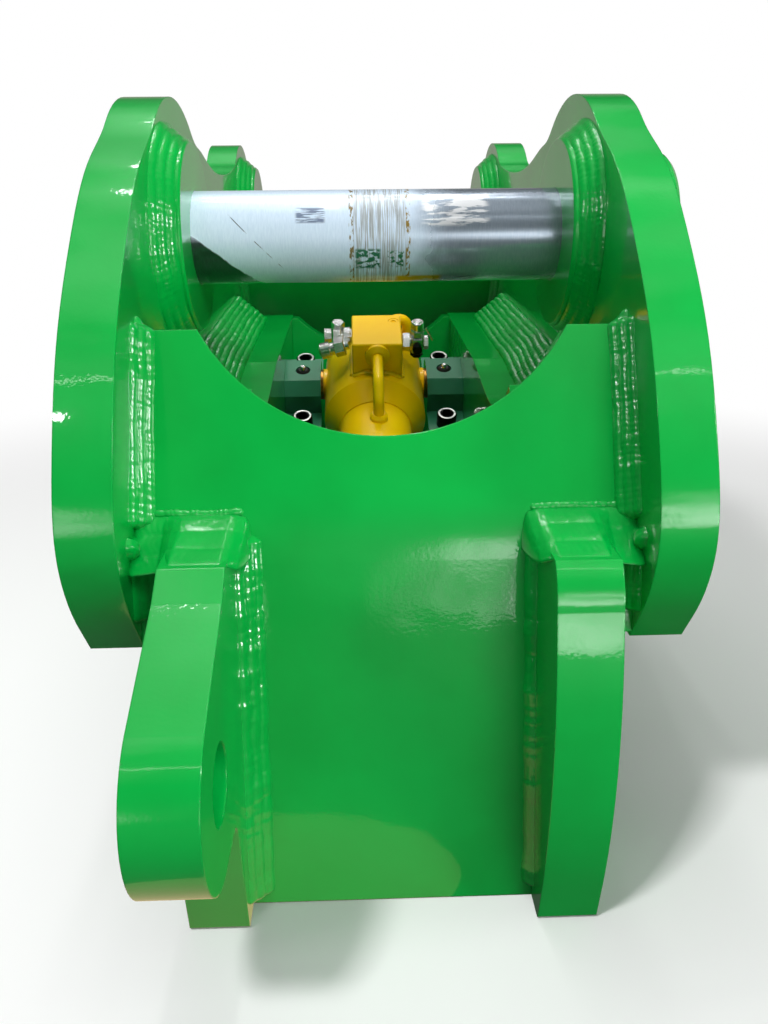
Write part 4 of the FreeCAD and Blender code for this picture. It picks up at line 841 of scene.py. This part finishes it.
for side, name, legs, passes in ((1, "rib_weld_right", (8, 9), 1),
                                 (-1, "rib_weld_left", (17, 20), 3)):
    rib_runs = fillet([(RIB_IN, *FRONT_KNEE), (RIB_IN, *FRONT_FOOT)], INWARD, lower_out, legs,
                      passes)
    for points, _, _ in rib_runs:
        points[0] -= lower_run * 2
        points[1] += lower_run * 6
    if side < 0:
        rib_runs = both_ways(rib_runs)[len(rib_runs):]
    weld(name, rib_runs, Ripple_Depth=0.18 * MM, Ripple_Pitch=7.5 * MM, Lumps=0.2)

# %% [markdown]
# Beside each rib, a channel is left between it and the outer plate. Its two corners are
# filled as well, down to the lower edge of the outer plates.

# %% Welds in the channels
CHANNEL_FOOT = -276.0
share = (CHANNEL_FOOT - FRONT_FOOT[1]) / (FRONT_KNEE[1] - FRONT_FOOT[1])
channel_y = FRONT_FOOT[0] + share * (FRONT_KNEE[0] - FRONT_FOOT[0])
channel = [FRONT_KNEE, (channel_y + 3, CHANNEL_FOOT + 16)]
channel_runs = fillet([(PLATE_IN, *place) for place in channel], INWARD, lower_out, (13, 18))
channel_runs += fillet([(RIB_OUT, *place) for place in channel], OUTWARD, lower_out, (13, 15),
                       passes=2)
weld("channel_welds", both_ways(channel_runs))

# %% [markdown]
# ### Rings of weld round the pin bosses
#
# Each outer plate is thickened by a disc where a pin passes. Three closed passes lie on the
# slope between the disc's rim and the plate.

# %% Rings round the bosses
RING_SIDES, RING_PASSES = 120, 3
RING_START, RING_RUN, RING_RISE = 4.0, 18.0, 15.0
FRONT_RIM, REAR_RIM = 82.0, 78.0
REAR_PIN_Y = 535.0


def circle(x, y, z, radius):
    """A circle round the X direction."""
    turns = [2 * math.pi * i / RING_SIDES for i in range(RING_SIDES)]
    return [(x, y + radius * math.cos(t), z + radius * math.sin(t)) for t in turns]


def boss_rings(name, y, rim):
    """Closed passes up the slope from the disc's rim to the plate, half sunk into it."""
    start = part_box(name)[0][0] / MM + RING_START
    length = math.hypot(RING_RUN, RING_RISE)
    radius = 1.25 * length / RING_PASSES
    sunk = radius - 1.0
    runs = []
    for i in range(RING_PASSES):
        share = (i + 0.5) / RING_PASSES
        x = start + RING_RUN * share + RING_RISE / length * sunk
        reach = rim + RING_RISE * share - RING_RUN / length * sunk
        runs.append((circle(x, y, 0, reach), radius, True))
    return runs


ring_runs = boss_rings("front_boss_right", 0, FRONT_RIM)
ring_runs += boss_rings("rear_boss_right", REAR_PIN_Y, REAR_RIM)
weld("boss_ring_welds", both_ways(ring_runs), Ripple_Depth=0.28 * MM)

# %% [markdown]
# ### Groove welds beside the deck
#
# The gap between the inner and outer plates is filled with weld: seven narrow passes up
# a slope, from the inner plate to the outer one. They follow the arc under the stick and
# then the deck. Nobody grinds them, so their ripples are the coarsest on the coupler.

# %% Groove passes
SWING_R = 156.0
ARC_START, ARC_END = 218.0, 279.0
DECK_KNEE = (130.0, -136.0)
DECK_REAR = (386.0, -121.7)
GROOVE_FOOT = RIB_OUT - 9.0
GROOVE_RISE = 30.0
GROOVE_PASSES, PASS_R = 7, 5.4
ARC_STEPS = 32


def groove_pass(share, radius):
    """One pass at a share of the way up the slope."""
    x = GROOVE_FOOT + share * (PLATE_IN - GROOVE_FOOT)
    height = share * GROOVE_RISE - radius * 0.45
    reach = SWING_R - height
    points = []
    for i in range(ARC_STEPS + 1):
        turn = math.radians(ARC_START + (ARC_END - ARC_START) * i / ARC_STEPS)
        points.append((x, reach * math.cos(turn), reach * math.sin(turn)))
    points += [(x, DECK_KNEE[0], DECK_KNEE[1] + height), (x, DECK_REAR[0], DECK_REAR[1] + height)]
    return points, radius, False


groove_runs = [groove_pass((i + 0.5) / GROOVE_PASSES, PASS_R) for i in range(GROOVE_PASSES)]
weld("groove_passes", both_ways(groove_runs), Ripple_Pitch=4.6 * MM, Ripple_Depth=1.7 * MM,
     Step=0.95 * MM, Sides=12, Lumps=0.3, Wander=0.9 * MM)

# %% Collar weld on the right
COLLAR_R = 68.0
outer_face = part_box("pin_collar")[0][0] / MM
weld("collar_weld", [(circle(outer_face + 1.5, 0, 0, COLLAR_R + 2.0), 5.5, True)])

# %% [markdown]
# ### Welds at the back and below
#
# The cross plates are welded in between the inner plates, and the fillers between inner and
# outer plates. These runs are plainer: two or three passes in straight corners.

# %% Welds of the cross members
TIE_LINE = ((420, -51), (425, -62), (432, -73), (499, -168))
TIE_OUT = (0, -0.819, -0.573)
INSET = 3.0


def between(name, side, legs=(11, 11), passes=2):
    """Upright passes at the rear (side 1) or front (0) of a plate between the inner plates."""
    low, high = [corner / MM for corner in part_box(name)]
    y = (low, high)[side].y
    facing = (0, 1, 0) if side else (0, -1, 0)
    line = [(RIB_IN, y, low.z + INSET), (RIB_IN, y, high.z - INSET)]
    return fillet(line, INWARD, facing, legs, passes)


low, high = [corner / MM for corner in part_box("belly_plate")]
cross_runs = between("rear_plate", 1, (14, 14), passes=3) + between("cross_plate", 1)
cross_runs += fillet([(RIB_IN, low.y + 6, high.z), (RIB_IN, high.y - 24, high.z)], INWARD,
                     (0, 0, 1), (9, 9), passes=2)
cross_runs += fillet([(PLATE_IN, *place) for place in TIE_LINE], INWARD, TIE_OUT, (10, 10),
                     passes=2)
low, high = [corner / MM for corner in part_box("spacer_right")]
cross_runs += fillet([(RIB_OUT, low.y + 18, low.z), (RIB_OUT, high.y - 46, low.z)], OUTWARD, DOWN,
                     (12, 12), passes=2)
for x, way in ((RIB_OUT, OUTWARD), (PLATE_IN, INWARD)):
    rear_line = [(x, high.y - 13.4, -128.0), (x, high.y - 0.6, -236.0)]
    cross_runs += fillet(rear_line, way, (0, 1, 0), (11, 10), passes=2)
weld("cross_member_welds", both_ways(cross_runs))

# %% [markdown]
# ### Yellow beads on the ram
#
# The valve block stands on the trunnion sleeve in a bead of weld that follows the sleeve's
# curve. It was painted yellow with the ram, and swings with it.

# %% Beads of the ram
TRUNNION = (242.0, -185.0)
RAM_SLOPE = math.radians(24.0013)
SLEEVE_R = 60.0


def on_ram(x, u, w):
    """A point of the ram's own frame: x across, u up its slope, w square to it."""
    c, s = math.cos(RAM_SLOPE), math.sin(RAM_SLOPE)
    return (x, TRUNNION[0] + u * c - w * s, TRUNNION[1] + u * s + w * c)


def over_sleeve(x, u):
    """A point on the sleeve's skin."""
    return on_ram(x, u, math.sqrt(SLEEVE_R ** 2 - x ** 2))


BLOCK_SIDES, BLOCK_ENDS = (-25.5, 31.5), (-61.0, 2.0)
FOOT_STEPS = 12
foot_line = []
for i in range(FOOT_STEPS + 1):
    x = BLOCK_SIDES[0] + (BLOCK_SIDES[1] - BLOCK_SIDES[0]) * i / FOOT_STEPS
    foot_line.append(over_sleeve(x, BLOCK_ENDS[0] - 1.0))
block_runs = [(foot_line, 3.4, False)]
for x in BLOCK_SIDES:
    block_runs.append(([over_sleeve(x, BLOCK_ENDS[0]), over_sleeve(x, BLOCK_ENDS[1])], 3.2, False))
weld("valve_block_weld", block_runs, body="ram", slot="yellow_paint", Ripple_Pitch=3 * MM,
     Sides=12)

# %% [markdown]
# ## Small parts of the bearing blocks
#
# The blocks are held by socket screws of black oxide, with bright zinc rings laid on their
# rims. Black liners in their sockets are painted shade, so that the sockets look like black
# holes, and black rubber rings round the grease nipples are painted shade in their recesses.
# All of these are turned or hexagonal shapes, made once and set on points by a second tree,
# which copies a template to every point of its host.

# %% Turned templates and the tree that sets them
SHARP = math.radians(35)


def turned_mesh(name, profile, sides=32):
    """A closed turned shape: profile is a closed loop of (radius, height) in mm."""
    shape = bmesh.new()
    rings = []
    for i in range(sides):
        angle = 2 * math.pi * i / sides
        rings.append([shape.verts.new((r * MM * math.cos(angle), r * MM * math.sin(angle), h * MM))
                      for r, h in profile])
    for here, there in zip(rings, rings[1:] + rings[:1]):
        band(shape, here, there)
    bmesh.ops.remove_doubles(shape, verts=shape.verts, dist=1e-7)
    bmesh.ops.recalc_face_normals(shape, faces=shape.faces)
    return meshed(name, shape)


def setting_tree():
    """Copies a template object to each point, all turned one way."""
    tree, given = new_tree("set_on_points", ("Template", "Object", None),
                           ("Turn", "Vector", None))
    copy = add(tree, "GeometryNodeObjectInfo", {"Object": given["Template"]}, "Geometry")
    placed = add(tree, "GeometryNodeInstanceOnPoints", {
        "Points": given["Geometry"], "Instance": copy, "Rotation": given["Turn"]}, 0)
    solid = add(tree, "GeometryNodeRealizeInstances", {"Geometry": placed}, 0)
    return end_tree(tree, solid, given)


SETTING_TREE = setting_tree()


def set_on(name, template, places, body, slot):
    """Copies of a template mesh at places in mm, all turned with the ram's slope."""
    host_mesh = bpy.data.meshes.new(name + "_places")
    host_mesh.from_pydata([tuple(c * MM for c in p) for p in places], [], [])
    host = bpy.data.objects.new(name + "_places", host_mesh)
    model = bpy.data.objects.new(name + "_template", template)
    for made in (host, model):
        bpy.context.scene.collection.objects.link(made)
    piece = grown(name, host, SETTING_TREE, body, slot, Template=model,
                  Turn=(RAM_SLOPE, 0.0, 0.0))
    bpy.data.objects.remove(model)
    piece.data.shade_smooth()
    piece.data.set_sharp_from_angle(angle=SHARP)


def turned_piece(name, parts, body, slot, finish=None):
    """One mesh of turned parts: each is (profile, sides, foot, axis) in the ram's own frame."""
    whole = bmesh.new()
    tilt = Matrix.Rotation(RAM_SLOPE, 4, "X")
    for profile, sides, foot, axis in parts:
        mesh = turned_mesh(name, profile, sides)
        facing = Vector(axis).to_track_quat("Z", "Y").to_matrix().to_4x4()
        foot = Vector(on_ram(*foot)) * MM
        mesh.transform(Matrix.Translation(foot) @ tilt @ facing)
        whole.from_mesh(mesh)
        bpy.data.meshes.remove(mesh)
    mesh = meshed(name, whole)
    mesh.shade_smooth()
    mesh.set_sharp_from_angle(angle=SHARP)
    as_piece(name, mesh, body, slot, finish)


def nut(radius, length):
    """The profile of a hexagon nut with broken corners, from its foot up."""
    chamfer = 0.09 * radius
    return [(0, 0), (radius * 0.9, 0), (radius, chamfer), (radius, length - chamfer),
            (radius * 0.9, length), (0, length)]


# %% Screw rims, painted shade in the sockets and round the nipples
BLOCK_X, BOLT_U, HEAD_TOP = 87.0, 61.5, -1.0
bolt_places = [on_ram(x, u, HEAD_TOP) for x in (-BLOCK_X, BLOCK_X) for u in (-BOLT_U, BOLT_U)]
rim = turned_mesh("rim", [(8.3, 0.05), (10.6, 0.05), (10.8, 0.25), (10.2, 0.5), (8.7, 0.5),
                          (8.3, 0.3)])
set_on("screw_rims", rim, bolt_places, "frame", "zinc_steel")
# black liners in the screw sockets: painted shade
socket = turned_mesh("socket", [(0.0, -7.9), (8.0, -7.9), (8.0, -0.1), (7.5, -0.1), (7.3, -7.4),
                                (0.0, -7.4)], sides=6)
set_on("screw_sockets", socket, bolt_places, "frame", "black_steel")
nipple_places = [on_ram(x, 0.0, 19.0) for x in (-BLOCK_X, BLOCK_X)]
# black rings in the nipples' recesses: painted shade
recess_shade_ring = turned_mesh("recess_shade_ring", [(3.5, 3.1), (3.5, 4.2), (5.5, 4.4), (8.2, 1.6), (8.6, 0.1),
                                      (5.8, 0.1), (5.8, 3.1)])
set_on("nipple_dust_rings", recess_shade_ring, nipple_places, "frame", "seal_rubber")

# %% [markdown]
# ## Nuts and caps of the hose fittings
#
# Both fittings end in capped swivels until the hoses come. Nickel is brighter and warmer than
# zinc, and nearly white where it faces the light.

# %% Fittings
nickel = metal("nickel_plated_steel", "#DADBD8", "#F2F2EF", 0.24, 500)
# the grease nipples are plated steel, but their nearly white tone here is a painted highlight on
# their balls
for name in ("left_port_fitting", "right_port_fitting", "grease_nipples"):
    nodes[name].material_slots[0].material = nickel
swivel = (-1, -0.05, -0.24)
knurled_cap = [(0, 0), (8.6, 0), (9.4, 0.8), (9.4, 11.0), (8.4, 12.2), (0, 12.2)]
turned_piece("left_fitting_nuts", [
    (nut(11.0, 12.0), 6, (-34.0, -36.2, 79.9), swivel),
    (knurled_cap, 24, (-50.5, -37.0, 76.0), swivel),
    (nut(10.5, 9.0), 6, (-27.0, -20.0, 82.0), (-1, 0, 0)),
    (nut(10.0, 10.0), 6, (-38.0, -20.0, 84.0), (-1, 0, 0)),
    (nut(7.6, 9.0), 6, (-49.0, -20.0, 84.0), (-1, 0, 0)),
    (nut(7.8, 9.0), 6, (-41.5, -12.5, 88.0), (0, 0, 1)),
], "ram", "zinc_steel", nickel)
turned_piece("right_fitting_nuts", [
    (nut(10.4, 9.5), 6, (33.0, -24.0, 76.0), (1, 0, 0)),
    (nut(8.2, 6.0), 6, (58.0, -24.0, 75.0), (1, 0, 0)),
    (nut(8.0, 8.0), 6, (50.5, -24.0, 84.5), (0, 0, 1)),
    ([(0, 0), (6.8, 0), (7.4, 0.6), (7.4, 8.0), (6.4, 9.0), (0, 9.0)], 24, (50.5, -24.0, 94.0),
     (0, 0, 1)),
    ([(0, 0), (1.5, 0), (1.5, 17.0), (0, 17.0)], 12, (61.0, -20.0, 92.0), (0.5, -0.25, -0.85)),
], "ram", "zinc_steel", nickel)
turned_piece("right_fitting_ports", [
    (nut(7.4, 7.0), 6, (50.5, -24.0, 64.5), (0, 0, -1)),
    ([(0, 0), (5.4, 0), (5.4, 5.0), (4.6, 5.6), (0, 5.6)], 24, (50.5, -32.0, 72.0), (0, -1, 0)),
], "ram", "black_steel")

bpy.context.view_layer.update()
